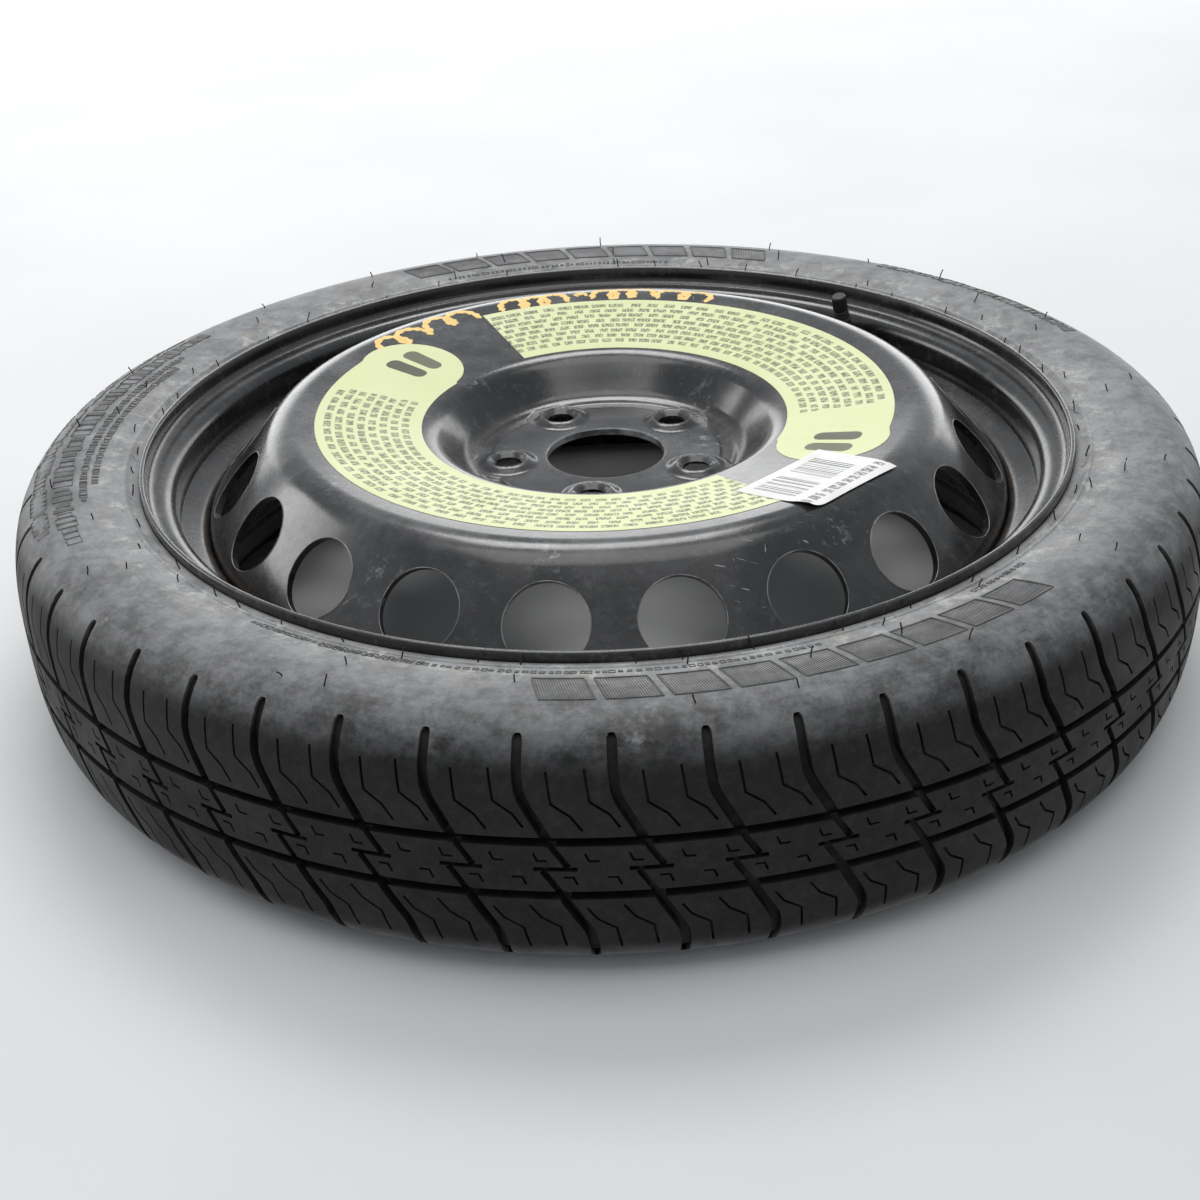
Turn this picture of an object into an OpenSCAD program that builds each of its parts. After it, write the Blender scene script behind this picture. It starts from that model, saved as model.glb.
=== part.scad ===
// Space saver spare wheel: a narrow temporary tyre on a pressed steel wheel.
// The wheel's axis is Z and its outer side faces up. It is drawn about its centre plane,
// z = 0, and the last lines set it down with its inner side on the floor.

/* [Tyre] */
// Outer diameter of the tyre
tyre_od = 661; // [651:1:671]
// Section width of the tyre
tyre_width = 131; // [131:1:137]
// Radius at which the tyre is widest
widest_r = 291; // [287:1:295]
// Roundness of the section, where 2 is an ellipse and more is squarer
section_power = 3; // [2.6:0.1:3.4]
// Thickness of the casing under the tread, grooves included
crown_wall = 11.5; // [10.5:0.5:13]
// Thickness of the sidewall
side_wall = 7; // [6:0.5:9]
// Height of the moulded rib beside the rim
rim_rib = 0.9; // [0.5:0.1:1.5]

/* [Tread] */
// Number of pitches round the tyre
pitch_count = 50; // [44:1:54]
// Depth of the grooves
groove_depth = 6.5; // [5:0.5:7.5]
// Width of the two grooves that run round the tyre
ring_groove_width = 4.5; // [3.5:0.5:6]
// Distance of those grooves from the centre plane
ring_groove_z = 14.3; // [12:0.1:17]
// Width of the grooves that cross the shoulders
cross_groove_width = 4.7; // [3.5:0.1:6]
// Width of the stepped groove in the centre rib
centre_groove_width = 2.4; // [2:0.1:3.4]
// Height above the centre plane at which a cross groove ends
cross_groove_end_z = 56; // [52:0.5:58]
// Depth of a cross groove near its end on the shoulder
shoulder_groove_depth = 3.2; // [2:0.1:4.5]

/* [Rim] */
// Diameter of the bead seat
bead_seat_d = 487.4; // [481:0.1:493]
// Width between the flanges
rim_width = 101.6; // [98:0.1:104]
// Height of the flange above the bead seat
flange_height = 14.2; // [13.5:0.1:15]
// How far the lip stands outside the flange
lip_reach = 14.2; // [12:0.1:14.6]
// Thickness of the rim sheet
rim_sheet = 2.8; // [2.2:0.1:3.4]
// Outer diameter of the drop well
well_d = 456; // [450:1:460]
// Height of the well's upper edge above the centre plane
well_top_z = 26.5; // [24:0.5:28]
// Depth of the well's lower edge below the centre plane
well_bottom_z = 14; // [10:0.5:20]
// Height of the safety hump on each bead seat
hump = 1.2; // [0.6:0.1:1.8]

/* [Disc] */
// Thickness of the disc sheet
disc_sheet = 4; // [3:0.1:5]
// Height of the hub mounting face above the centre plane
hub_face_z = 40.5; // [36:0.5:44]
// Diameter of the centre bore
bore_d = 66.6; // [57:0.1:72.6]
// Diameter of the bolt circle
bolt_circle_d = 112; // [108:1:116]
// Number of bolt holes
bolt_count = 5; // [4:1:6]
// Diameter of a bolt hole
bolt_hole_d = 15; // [13:0.5:16]
// Radius of the ball seat in a bolt hole
ball_seat_r = 13; // [12:0.5:14]
// Height of the bosses round the bolt holes
boss_height = 2.8; // [2:0.1:4]
// Radius of the hub pad between its lobes
pad_r = 64.5; // [60:0.5:68]
// Radius of the lobe round each bolt hole
lobe_r = 19; // [17:0.5:21]
// Depth of the channel pressed round the hub pad
pad_step = 1.3; // [0.8:0.1:1.8]
// Radius at the foot of the bowl
bowl_foot_r = 78; // [74:0.5:82]
// Radius at the top of the bowl
bowl_top_r = 96; // [92:0.5:96]
// Height of the bowl's top above the centre plane
bowl_top_z = 66; // [62:0.5:70]
// Radius of the shoulder where the crown turns down
shoulder_r = 181; // [177:0.5:185]
// Height of that shoulder above the centre plane
shoulder_z = 78.9; // [75:0.1:82]
// Height at which the skirt turns into the weld flange
flange_bend_z = 30; // [28:0.5:33]
// Number of vents
vent_count = 20; // [15:1:20]
// Diameter of a vent
vent_d = 43; // [36:0.5:44]
// Radius at which the vents' centres lie
vent_r = 207.3; // [205:0.1:209]
// Number of weld beads
weld_count = 8; // [4:1:10]
// Length of each weld bead as an angle
weld_angle = 16; // [10:1:24]
// Leg of the weld bead
weld_leg = 3.6; // [2.5:0.1:4]

/* [Valve] */
// Direction of the valve round the wheel
valve_at = 47; // [0:1:359]
// Lean of the valve towards the wheel's axis, and of the rim's flank that carries it
valve_lean = 15; // [12:1:18]
// Diameter of the valve hole
valve_hole_d = 11.3; // [10.5:0.1:12.5]
// Length of rubber above the flank
rubber_length = 29.5; // [26:0.5:31]
// Length of bare thread above the rubber
thread_length = 10; // [8:0.5:11]
// Diameter of the stem's thread
thread_d = 7.7; // [7.2:0.1:8]
// Radial running clearance of the cap and the core
running_gap = 0.05; // [0.02:0.01:0.1]
// Largest diameter of the cap
cap_d = 10; // [9.6:0.1:11]
// Travel of the valve pin
pin_travel = 1.1; // [0.8:0.1:1.2]

/* [Vinyl bands and sticker] */
// Inner radius of the vinyl bands
band_inner_r = 102.5; // [102.5:0.5:110]
// Outer radius of the vinyl bands
band_outer_r = 161; // [150:0.5:164]
// Radius of a band's round head
band_head_r = 30; // [26:0.5:30]
// Direction of the first band's round head
first_band_at = 147; // [140:1:155]
// Angle that the first band covers beyond its head
first_band_sweep = 157; // [140:1:160]
// Direction of the second band's round head
second_band_at = -25; // [-30:1:-20]
// Angle that the second band covers beyond its head
second_band_sweep = 142; // [120:1:150]
// Thickness of the vinyl
vinyl_film = 0.15; // [0.1:0.01:0.25]
// Thickness of the glue under a band
vinyl_glue = 0.05; // [0.02:0.01:0.1]
// Width of the paper sticker
sticker_width = 66; // [55:1:75]
// Height of the paper sticker
sticker_height = 46; // [38:1:48]
// Direction of the paper sticker
sticker_at = -46; // [-60:1:-40]
// Radius of the paper sticker's centre
sticker_r = 150.5; // [148:0.5:153]

/* [Hidden] */
$fn = 96;
arc_steps = 5;          // flats in each rounded bend of a section
bead_r = bead_seat_d / 2;
lip_r = bead_r + flange_height;
flange_z = rim_width / 2;
lip_z = flange_z + lip_reach;
well_r = well_d / 2;
well_inner_r = well_r - rim_sheet;
tyre_r = tyre_od / 2;

// Every piece is drawn about the wheel's centre and then set down on the floor
module set_down() { translate([0, 0, tyre_width / 2]) children(); }

// Rounded bends: a path is a list of [r, z, bend radius], and each bend becomes an arc
function unit(v) = v / norm(v);
function turn(v) = [-v[1], v[0]];
function bend(a, b, c) =
    let (p = [a[0], a[1]], q = [b[0], b[1]], s = [c[0], c[1]],
         u = unit(p - q), w = unit(s - q),
         half = acos(max(-1, min(1, u * w))) / 2,
         reach = b[2] / tan(half),
         centre = q + unit(u + w) * b[2] / sin(half),
         first = q + u * reach - centre,
         last = q + w * reach - centre,
         side = first[0] * last[1] - first[1] * last[0] > 0 ? 1 : -1,
         sweep = (180 - 2 * half) * side)
    b[2] == 0 ? [q] :
    [for (i = [0 : arc_steps])
        let (t = sweep * i / arc_steps)
        centre + [first[0] * cos(t) - first[1] * sin(t), first[0] * sin(t) + first[1] * cos(t)]];
function rounded(path) =
    let (n = len(path))
    [for (i = [0 : n - 1])
        each (i == 0 || i == n - 1 ? [[path[i][0], path[i][1]]] :
            bend(path[i - 1], path[i], path[i + 1]))];

// The points of a line moved sideways by a distance, with mitred corners
function moved(line, d) =
    let (n = len(line))
    [for (i = [0 : n - 1])
        let (before = i == 0 ? line[1] - line[0] : line[i] - line[i - 1],
             after = i == n - 1 ? line[n - 1] - line[n - 2] : line[i + 1] - line[i],
             m = unit(turn(unit(before)) + turn(unit(after))))
        line[i] + m * d / (m * turn(unit(after)))];
function reversed(list) = [for (i = [len(list) - 1 : -1 : 0]) list[i]];
function mirrored(list) = [for (p = reversed(list)) [p[0], -p[1]]];
// A sheet of even thickness on the left side of a line
function sheet(line, thickness) = concat(line, reversed(moved(line, thickness)));

// Rim: the line follows the side that the tyre sits on, from the outer lip to the inner lip
hump_bend = rim_sheet + 0.4;
flank_z = well_top_z + (bead_r - 1.6 - well_r) * tan(valve_lean);
rim_half = [
    [lip_r, lip_z, 0],
    [lip_r, flange_z, 8],
    [bead_r, flange_z, 5.8],
    [bead_r - 1.1, flange_z - 12, 2],
    [bead_r - 1.1 + hump, flange_z - 16, hump_bend],
    [bead_r - 1.6, flank_z, hump_bend]
];
rim_line = rounded(concat(
    rim_half,
    [[well_r, well_top_z, 5], [well_r, -well_bottom_z, 7]],
    [for (p = reversed(rim_half)) [p[0], -p[1], p[2]]]
));

// Disc: the line follows its outer face, from the bore to the weld flange
hub_top = hub_face_z + disc_sheet;
disc_line = rounded([
    [bore_d / 2, hub_top, 0],
    [bowl_foot_r, hub_top, 12],
    [bowl_top_r, bowl_top_z, 16],
    [shoulder_r, shoulder_z, 20],
    [well_inner_r, flange_bend_z, 12],
    [well_inner_r, 0, 0]
]);
skirt_tilt = atan2(shoulder_z - flange_bend_z, well_inner_r - shoulder_r);
vent_z = shoulder_z - (vent_r - shoulder_r) * tan(skirt_tilt);
bolt_at = 45.2;         // direction of the first bolt hole
bolt_step = 360 / bolt_count;
boss_top_z = hub_top + boss_height;
seat_low_z = hub_face_z + boss_height + 1.2;

// Tyre: its bead follows the rim, and its outer side is a rounded oblong
bead_top_z = lip_z - 5.4;
bead_toe_z = flange_z - 12.6;
half_width = tyre_width / 2;
rim_gap_drop = half_width - bead_top_z;
function side_z(r) = half_width - rim_gap_drop * pow((widest_r - r) / (widest_r - lip_r), 2);
bead_contact = [for (p = rim_line) if (p[1] < bead_top_z && p[1] > bead_toe_z) p];
rib_r = lip_r + 8;
tyre_upper = concat(
    [[bead_r + 1.2, bead_toe_z - 1]],
    reversed(bead_contact),
    [[lip_r, side_z(lip_r)], [rib_r - 1.6, side_z(rib_r - 1.6)], [rib_r - 0.5, side_z(rib_r) + rim_rib],
     [rib_r + 0.5, side_z(rib_r) + rim_rib], [rib_r + 1.6, side_z(rib_r + 1.6)]],
    [for (k = [1 : 4]) let (r = rib_r + (widest_r - rib_r) * k / 5) [r, side_z(r)]],
    [for (t = [90 : -5 : 5])
        [widest_r + (tyre_r - widest_r) * pow(abs(cos(t)), 2 / section_power),
         half_width * pow(sin(t), 2 / section_power)]]
);
cavity_half = [
    [bead_r + 1.2, bead_toe_z - 1, 0],
    [bead_r + 9, bead_toe_z, 4],
    [lip_r + 3, bead_top_z - 8, 10],
    [widest_r - 4, half_width - side_wall, 14],
    [tyre_r - crown_wall - 9, 50, 16],
    [tyre_r - crown_wall, 34, 16]
];
cavity_line = rounded(concat(cavity_half, [for (p = reversed(cavity_half)) [p[0], -p[1], p[2]]]));

// Tread: places on the unrolled tread are [distance round the tyre, height]
groove_floor_r = tyre_r - groove_depth;
pitch_angle = 360 / pitch_count;
cell_middle = 15;       // distance from a cross groove's end to the middle of its pitch
cross_line = [[0, 42], [0.9, 38], [4, 31], [8.3, 23], [12.8, ring_groove_z]];
slot_foot_z = 38;
shoulder_end_r = widest_r
    + (tyre_r - widest_r) * pow(1 - pow(cross_groove_end_z / half_width, section_power), 1 / section_power);
slot_tilt = atan2(groove_floor_r - (shoulder_end_r - shoulder_groove_depth), cross_groove_end_z - slot_foot_z);
slot_length = (cross_groove_end_z - slot_foot_z) / cos(slot_tilt);
clear_of_tyre = 16;     // how far a groove's cutter reaches outwards

module revolved(outline) { rotate_extrude() polygon(outline); }

// A band of even width along a line of places
module band(line, width) {
    polygon(concat(moved(line, width / 2), reversed(moved(line, -width / 2))));
}

// A flat outline on the unrolled tread, cut radially down to a floor
module tread_cut(floor_r) {
    translate([floor_r, 0, 0]) rotate([90, 0, 90]) linear_extrude(clear_of_tyre) children();
}

// A groove across the upper shoulder: straight and tilted at its round end, then curved into the ring groove
module cross_groove() {
    tread_cut(groove_floor_r) band(cross_line, cross_groove_width);
    translate([0, 0, slot_foot_z])
        translate([groove_floor_r, 0, 0]) rotate([0, -slot_tilt, 0])
            rotate([90, 0, 90]) linear_extrude(clear_of_tyre) {
                translate([-cross_groove_width / 2, 0]) square([cross_groove_width, slot_length]);
                translate([0, slot_length]) circle(d = cross_groove_width);
            }
}

// The stepped groove of the centre rib, about the middle of its pitch
module centre_groove() {
    tread_cut(groove_floor_r + 1.5) {
        band([[-2, ring_groove_z - 1], [6.2, 0]], centre_groove_width);
        band([[2, 1 - ring_groove_z], [-6.2, 0]], centre_groove_width);
        band([[-9.5, 0], [9.5, 0]], centre_groove_width);
    }
}

module ring_groove(z) {
    difference() {
        translate([0, 0, z - ring_groove_width / 2]) cylinder(r = tyre_r + 5, h = ring_groove_width);
        translate([0, 0, z - ring_groove_width]) cylinder(r = groove_floor_r, h = 2 * ring_groove_width);
    }
}

module tyre() {
    color([0.09, 0.09, 0.095])
    difference() {
        revolved(concat(tyre_upper, mirrored(tyre_upper), reversed(cavity_line)));
        for (z = [-ring_groove_z, ring_groove_z]) ring_groove(z);
        for (k = [0 : pitch_count - 1]) rotate([0, 0, k * pitch_angle - 90.5]) {
            cross_groove();
            rotate([0, 0, cell_middle / tyre_r * 180 / PI]) centre_groove();
            rotate([0, 0, 2 * cell_middle / tyre_r * 180 / PI]) rotate([180, 0, 0]) cross_groove();
        }
    }
}

module rim_hoop() {
    difference() {
        revolved(sheet(rim_line, -rim_sheet));
        at_valve() translate([0, 0, -12]) cylinder(d = valve_hole_d, h = 24);
    }
}

module rim() { color([0.07, 0.07, 0.075]) rim_hoop(); }

module at_bolts() {
    for (k = [0 : bolt_count - 1]) rotate([0, 0, bolt_at + k * bolt_step]) translate([bolt_circle_d / 2, 0, 0])
        children();
}

module hub_channel() {
    difference() {
        translate([0, 0, hub_top - pad_step]) cylinder(r = bowl_foot_r - 3.2, h = 3);
        translate([0, 0, hub_top - pad_step - 1]) cylinder(r = pad_r, h = 5);
        at_bolts() translate([0, 0, hub_top - pad_step - 1]) cylinder(r = lobe_r, h = 5);
    }
}

module disc() {
    color([0.07, 0.07, 0.075])
    difference() {
        union() {
            revolved(sheet(disc_line, -disc_sheet));
            at_bolts() translate([0, 0, hub_top - 0.5]) cylinder(r1 = 16, r2 = 12, h = boss_height + 0.5);
        }
        hub_channel();
        at_bolts() {
            translate([0, 0, hub_face_z - 1]) cylinder(d = bolt_hole_d, h = 12);
            translate([0, 0, hub_face_z - 0.01]) cylinder(r1 = 13, r2 = 9.5, h = boss_height + 0.01);
            translate([0, 0, seat_low_z + sqrt(pow(ball_seat_r, 2) - pow(bolt_hole_d / 2, 2))])
                sphere(r = ball_seat_r);
        }
        for (k = [0 : vent_count - 1]) rotate([0, 0, bolt_at + k * 360 / vent_count])
            translate([vent_r, 0, vent_z]) rotate([0, skirt_tilt, 0]) cylinder(d = vent_d, h = 26, center = true);
    }
}

module weld_beads() {
    color([0.12, 0.11, 0.1])
    for (k = [0 : weld_count - 1]) rotate([0, 0, k * 360 / weld_count])
        rotate_extrude(angle = weld_angle) polygon([
            [well_inner_r, 0], [well_inner_r - weld_leg, 0],
            [well_inner_r - 0.66 * weld_leg, -0.66 * weld_leg], [well_inner_r, -weld_leg]
        ]);
}

// Valve: heights are along its own axis from the flank of the rim
valve_base_r = 234;
flank_air_z = well_top_z + (valve_base_r - well_r) * tan(valve_lean) + rim_sheet / cos(valve_lean);
thread_top = rubber_length + thread_length;
thread_r = thread_d / 2;
core_r = 2.6;           // radius of the threaded bore that takes the core
throat_r = 1.9;         // radius of the stem's bore below the core
core_seat = thread_top - 9;
plug_top = thread_top - 0.6;
collar_low = thread_top - 6.6;
barrel_low = thread_top - 13;

module at_valve() {
    rotate([0, 0, valve_at]) translate([valve_base_r, 0, flank_air_z]) rotate([0, -valve_lean, 0]) children();
}

module valve_body() {
    color([0.05, 0.05, 0.05])
    difference() {
        at_valve() rotate_extrude() polygon([
            [2.9, -13], [5, -13], [6.4, -11], [7.6, -rim_sheet - 2.5], [7.6, -rim_sheet - 0.6],
            [valve_hole_d / 2, -rim_sheet - 0.6], [valve_hole_d / 2, -1], [7.2, -1], [7.2, 1.2], [7, 3],
            [6.6, 10], [6, 18], [5.2, rubber_length - 1.2], [4.7, rubber_length], [2.9, rubber_length]
        ]);
        rim_hoop();
    }
}

module valve_stem() {
    color([0.72, 0.6, 0.32])
    at_valve() rotate_extrude() polygon([
        [throat_r, -15], [2.9, -15], [2.9, rubber_length], [thread_r, rubber_length],
        [thread_r, thread_top - 0.4], [thread_r - 0.4, thread_top], [core_r, thread_top],
        [core_r, core_seat], [throat_r + 0.3, core_seat - 2], [throat_r + 0.3, barrel_low - 4],
        [throat_r, barrel_low - 5]
    ]);
}

module core_plug() {
    color([0.75, 0.63, 0.35])
    at_valve() rotate_extrude() polygon([
        [1.2, plug_top], [core_r, plug_top], [core_r, core_seat + 1.5], [1.65, core_seat],
        [1.65, barrel_low], [0.55 + running_gap, barrel_low], [0.55 + running_gap, barrel_low + 1],
        [1.2, barrel_low + 1]
    ]);
}

module core_gasket() {
    color([0.8, 0.25, 0.2])
    at_valve() rotate_extrude() polygon([
        [1.65, core_seat - 0.4], [throat_r + 0.4, core_seat - 0.9], [throat_r + 0.3, core_seat - 2],
        [throat_r + 0.3, core_seat - 2.8], [1.65, core_seat - 2.8]
    ]);
}

module core_pin() {
    color([0.8, 0.7, 0.4])
    at_valve() rotate_extrude() polygon([
        [0, barrel_low - 2.4], [0.55, barrel_low - 2.4], [0.55, collar_low], [1.1, collar_low],
        [1.1, collar_low + 0.7], [0.55, collar_low + 0.7], [0.55, thread_top - 0.4], [0.3, thread_top - 0.15],
        [0, thread_top - 0.15]
    ]);
}

module core_cup() {
    color([0.1, 0.1, 0.1])
    at_valve() rotate_extrude() polygon([
        [0.55, barrel_low - 0.1], [1.5, barrel_low - 0.1], [1.5, barrel_low - 1.6],
        [0.9, barrel_low - 2.2], [0.55, barrel_low - 2.2]
    ]);
}

// Spring: a round wire wound round the pin, drawn as short as the pin's travel makes it
spring_r = 0.85;
wire_r = 0.13;
spring_turns = 6;
spring_low = barrel_low + 1 + pin_travel + 0.2 + wire_r;
spring_high = collar_low - wire_r;
wire_sides = 6;
ring_steps = 14;
spring_rings = spring_turns * ring_steps;
spring_points = [for (i = [0 : spring_rings]) for (j = [0 : wire_sides - 1])
    let (a = 360 * i / ring_steps, b = 360 * j / wire_sides, r = spring_r + wire_r * cos(b))
    [r * cos(a), r * sin(a), spring_low + (spring_high - spring_low) * i / spring_rings + wire_r * sin(b)]];
spring_faces = concat(
    [[for (j = [0 : wire_sides - 1]) j]],
    [for (i = [0 : spring_rings - 1]) for (j = [0 : wire_sides - 1])
        let (k = (j + 1) % wire_sides, a = i * wire_sides, b = a + wire_sides)
        [a + j, b + j, b + k, a + k]],
    [[for (j = [wire_sides - 1 : -1 : 0]) spring_rings * wire_sides + j]]
);

module core_spring() {
    color([0.7, 0.7, 0.72])
    at_valve() polyhedron(spring_points, spring_faces);
}

cap_low = rubber_length + 0.2;
cap_inner_top = thread_top + 1;
cap_top = thread_top + 2.2;
cap_r = cap_d / 2;

module valve_cap() {
    color([0.04, 0.04, 0.04])
    at_valve() rotate_extrude() polygon([
        [thread_r + running_gap, cap_low], [cap_r, cap_low], [cap_r, cap_low + 1.1], [cap_r - 0.4, cap_low + 1.4],
        [cap_r - 0.6, cap_top - 0.8], [cap_r - 1.2, cap_top], [0, cap_top], [0, cap_inner_top],
        [thread_r + running_gap, cap_inner_top]
    ]);
}

module cap_seal() {
    color([0.15, 0.15, 0.15])
    at_valve() translate([0, 0, thread_top + 0.1]) cylinder(r = thread_r, h = cap_inner_top - thread_top - 0.1);
}

// Vinyl bands: a thin film on the crown, which is a shallow cone
crown_rise = (shoulder_z - bowl_top_z) / (shoulder_r - bowl_top_r);
function crown_z(r) = bowl_top_z + (r - bowl_top_r) * crown_rise;
band_head_middle = band_inner_r + 1.5 + band_head_r;

module sector(from, to, reach) {
    steps = 12;
    polygon(concat([[0, 0]], [for (i = [0 : steps]) let (a = from + (to - from) * i / steps)
        reach * [cos(a), sin(a)]]));
}

// One band's outline: a band round the axis that starts in a round head
module band_outline(head_at, sweep) {
    intersection() {
        difference() {
            circle(r = band_outer_r);
            circle(r = band_inner_r);
        }
        sector(head_at, head_at + sweep, 2 * band_outer_r);
    }
    rotate(head_at) translate([band_head_middle, 0]) circle(r = band_head_r);
}

module vinyl_bands() {
    foot = crown_z(band_inner_r) + vinyl_glue;
    head_rim = band_head_middle + band_head_r;
    rim_foot = crown_z(head_rim) + vinyl_glue;
    color([0.88, 0.93, 0.6])
    intersection() {
        revolved([
            [band_inner_r, foot], [head_rim, rim_foot],
            [head_rim, rim_foot + vinyl_film], [band_inner_r, foot + vinyl_film]
        ]);
        linear_extrude(200) {
            band_outline(first_band_at, first_band_sweep);
            band_outline(second_band_at, second_band_sweep);
        }
    }
}

// The sticker follows the crown and the start of the shoulder's bend
sticker_line = [for (p = disc_line) if (p[0] > bowl_top_r + 8 && p[0] < shoulder_r) p];
sticker_base = moved(concat([[band_inner_r, crown_z(band_inner_r)]], sticker_line), vinyl_film + vinyl_glue);

module paper_sticker() {
    color([0.95, 0.95, 0.93])
    intersection() {
        revolved(sheet(sticker_base, vinyl_film));
        rotate([0, 0, sticker_at]) translate([sticker_r - sticker_height / 2, -sticker_width / 2, 0])
            cube([sticker_height, sticker_width, 200]);
    }
}

set_down() tyre();
set_down() rim();
set_down() disc();
set_down() weld_beads();
set_down() valve_body();
set_down() valve_stem();
set_down() core_plug();
set_down() core_gasket();
set_down() core_pin();
set_down() core_cup();
set_down() core_spring();
set_down() valve_cap();
set_down() cap_seal();
set_down() vinyl_bands();
set_down() paper_sticker();
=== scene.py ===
"""Looks of a space saver spare wheel: a narrow tyre on a pressed steel wheel, lying on a pale floor."""

import logging
import math
import random
from dataclasses import dataclass, replace
from enum import Enum
from typing import Callable, Sequence

import bmesh
import bpy
import numpy as np
from mathutils import Matrix, Vector
from mathutils.geometry import delaunay_2d_cdt


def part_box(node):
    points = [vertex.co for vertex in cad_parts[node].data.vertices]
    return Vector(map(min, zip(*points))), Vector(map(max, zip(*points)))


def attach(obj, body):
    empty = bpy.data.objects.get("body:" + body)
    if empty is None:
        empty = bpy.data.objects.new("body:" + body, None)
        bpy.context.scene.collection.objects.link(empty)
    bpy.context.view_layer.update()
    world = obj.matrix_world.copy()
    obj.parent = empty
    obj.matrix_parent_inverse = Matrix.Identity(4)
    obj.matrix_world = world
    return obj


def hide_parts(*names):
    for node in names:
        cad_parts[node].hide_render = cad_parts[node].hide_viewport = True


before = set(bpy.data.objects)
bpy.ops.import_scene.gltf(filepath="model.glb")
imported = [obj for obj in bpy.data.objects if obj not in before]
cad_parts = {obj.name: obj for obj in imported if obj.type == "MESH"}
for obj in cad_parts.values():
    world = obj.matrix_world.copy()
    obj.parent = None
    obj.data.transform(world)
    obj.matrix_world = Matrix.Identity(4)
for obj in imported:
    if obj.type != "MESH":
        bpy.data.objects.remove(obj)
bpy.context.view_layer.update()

Point = tuple[float, float]
Corner = tuple[float, float, float]
Faces = list[tuple[int, ...]]
Shell = tuple[np.ndarray, Faces]

MM = 0.001
MERGE, SLIVER = 0.000004, 0.000002  # in metres
TYRE_LOW, TYRE_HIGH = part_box("tyre")
CENTRE_Z = (TYRE_LOW.z + TYRE_HIGH.z) / 2 / MM
TYRE_R = TYRE_HIGH.x / MM
HALF_WIDTH = (TYRE_HIGH.z - TYRE_LOW.z) / 2 / MM
WHEEL = "wheel"
log = logging.getLogger("spare_wheel")


def fillet(path: Sequence[Corner], steps: int = 8) -> list[Point]:
    """Turns each corner of a path into an arc.

    Args:
        path: Corners as (radius, height, bend radius); a bend of 0 stays sharp.
        steps: Flats in each arc.

    Returns:
        The rounded line as (radius, height) points.
    """
    line: list[Point] = []
    for i, (x, y, bend) in enumerate(path):
        if bend == 0 or i in (0, len(path) - 1):
            line.append((x, y))
            continue
        corner = Vector((x, y))
        back = (Vector(path[i - 1][:2]) - corner).normalized()
        ahead = (Vector(path[i + 1][:2]) - corner).normalized()
        half = back.angle(ahead) / 2
        centre = corner + (back + ahead).normalized() * bend / math.sin(half)
        first = corner + back * bend / math.tan(half) - centre
        last = corner + ahead * bend / math.tan(half) - centre
        sweep = math.pi - 2 * half
        if first.x * last.y - first.y * last.x < 0:
            sweep = -sweep
        for k in range(steps + 1):
            c, s = math.cos(sweep * k / steps), math.sin(sweep * k / steps)
            line.append((centre.x + first.x * c - first.y * s, centre.y + first.x * s + first.y * c))
    return line


def shifted(line: Sequence[Point], distance: float) -> list[Point]:
    """Moves a line sideways to its left.

    Args:
        line: The line's points.
        distance: How far to move it; a negative distance moves it to its right.

    Returns:
        The moved line, with mitred corners.
    """
    points = np.array(line, float)
    steps = np.diff(points, axis=0)
    steps /= np.linalg.norm(steps, axis=1)[:, None]
    normals = np.stack([-steps[:, 1], steps[:, 0]], axis=1)
    before = np.vstack([normals[:1], normals])
    after = np.vstack([normals, normals[-1:]])
    middle = before + after
    middle /= np.linalg.norm(middle, axis=1)[:, None]
    reach = distance / np.sum(middle * after, axis=1)
    return [tuple(p) for p in points + middle * reach[:, None]]


def resampled(line: Sequence[Point], step: float) -> list[Point]:
    """Adds points to a line so that no stretch is longer than a step.

    Args:
        line: The line's points.
        step: The longest stretch left.

    Returns:
        The denser line.
    """
    dense: list[Point] = [line[0]]
    for a, b in zip(line, line[1:]):
        count = max(1, math.ceil(math.dist(a, b) / step))
        dense += [(a[0] + (b[0] - a[0]) * k / count, a[1] + (b[1] - a[1]) * k / count)
                  for k in range(1, count + 1)]
    return dense


def mirrored(line: Sequence[tuple[float, ...]]) -> list[tuple[float, ...]]:
    """The line, with its bends if it has them, reflected in the centre plane and run the other way."""
    return [(r, -z, *bend) for r, z, *bend in reversed(line)]


def polar(radius: float, degrees: float, height: float = 0.0) -> Vector:
    """The point at a radius, direction and height about the wheel's centre."""
    angle = math.radians(degrees)
    return Vector((radius * math.cos(angle), radius * math.sin(angle), height))


def smooth(low: float, high: float, x: np.ndarray) -> np.ndarray:
    """A smooth step from 0 at low to 1 at high."""
    t = np.clip((x - low) / (high - low), 0, 1)
    return t * t * (3 - 2 * t)


def hill(x: np.ndarray, middle: float, reach: float) -> np.ndarray:
    """A round hill that is 1 at its middle and fades out beyond its reach."""
    return np.exp(-((x - middle) / reach) ** 2)


def radius_and_height(points: np.ndarray) -> tuple[np.ndarray, np.ndarray]:
    """The radius and the height of each point."""
    return np.hypot(points[:, 0], points[:, 1]), points[:, 2]


def ring_grid(columns: int, rows: int, closed: bool = True) -> Faces:
    """Faces between the rows of a grid that closes round the axis.

    Args:
        columns: Points round each row.
        rows: Number of rows, where a row's points follow one another.
        closed: Whether the last row joins the first.

    Returns:
        Four-sided faces as vertex numbers.
    """
    faces: Faces = []
    for i in range(rows if closed else rows - 1):
        a, b = i * columns, (i + 1) % rows * columns
        faces += [(a + j, a + (j + 1) % columns, b + (j + 1) % columns, b + j) for j in range(columns)]
    return faces


def end_faces(columns: int, rows: int) -> Faces:
    """The two faces that close the first and the last row of a grid."""
    return [tuple(range(columns)), tuple(range((rows - 1) * columns, rows * columns))]


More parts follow.
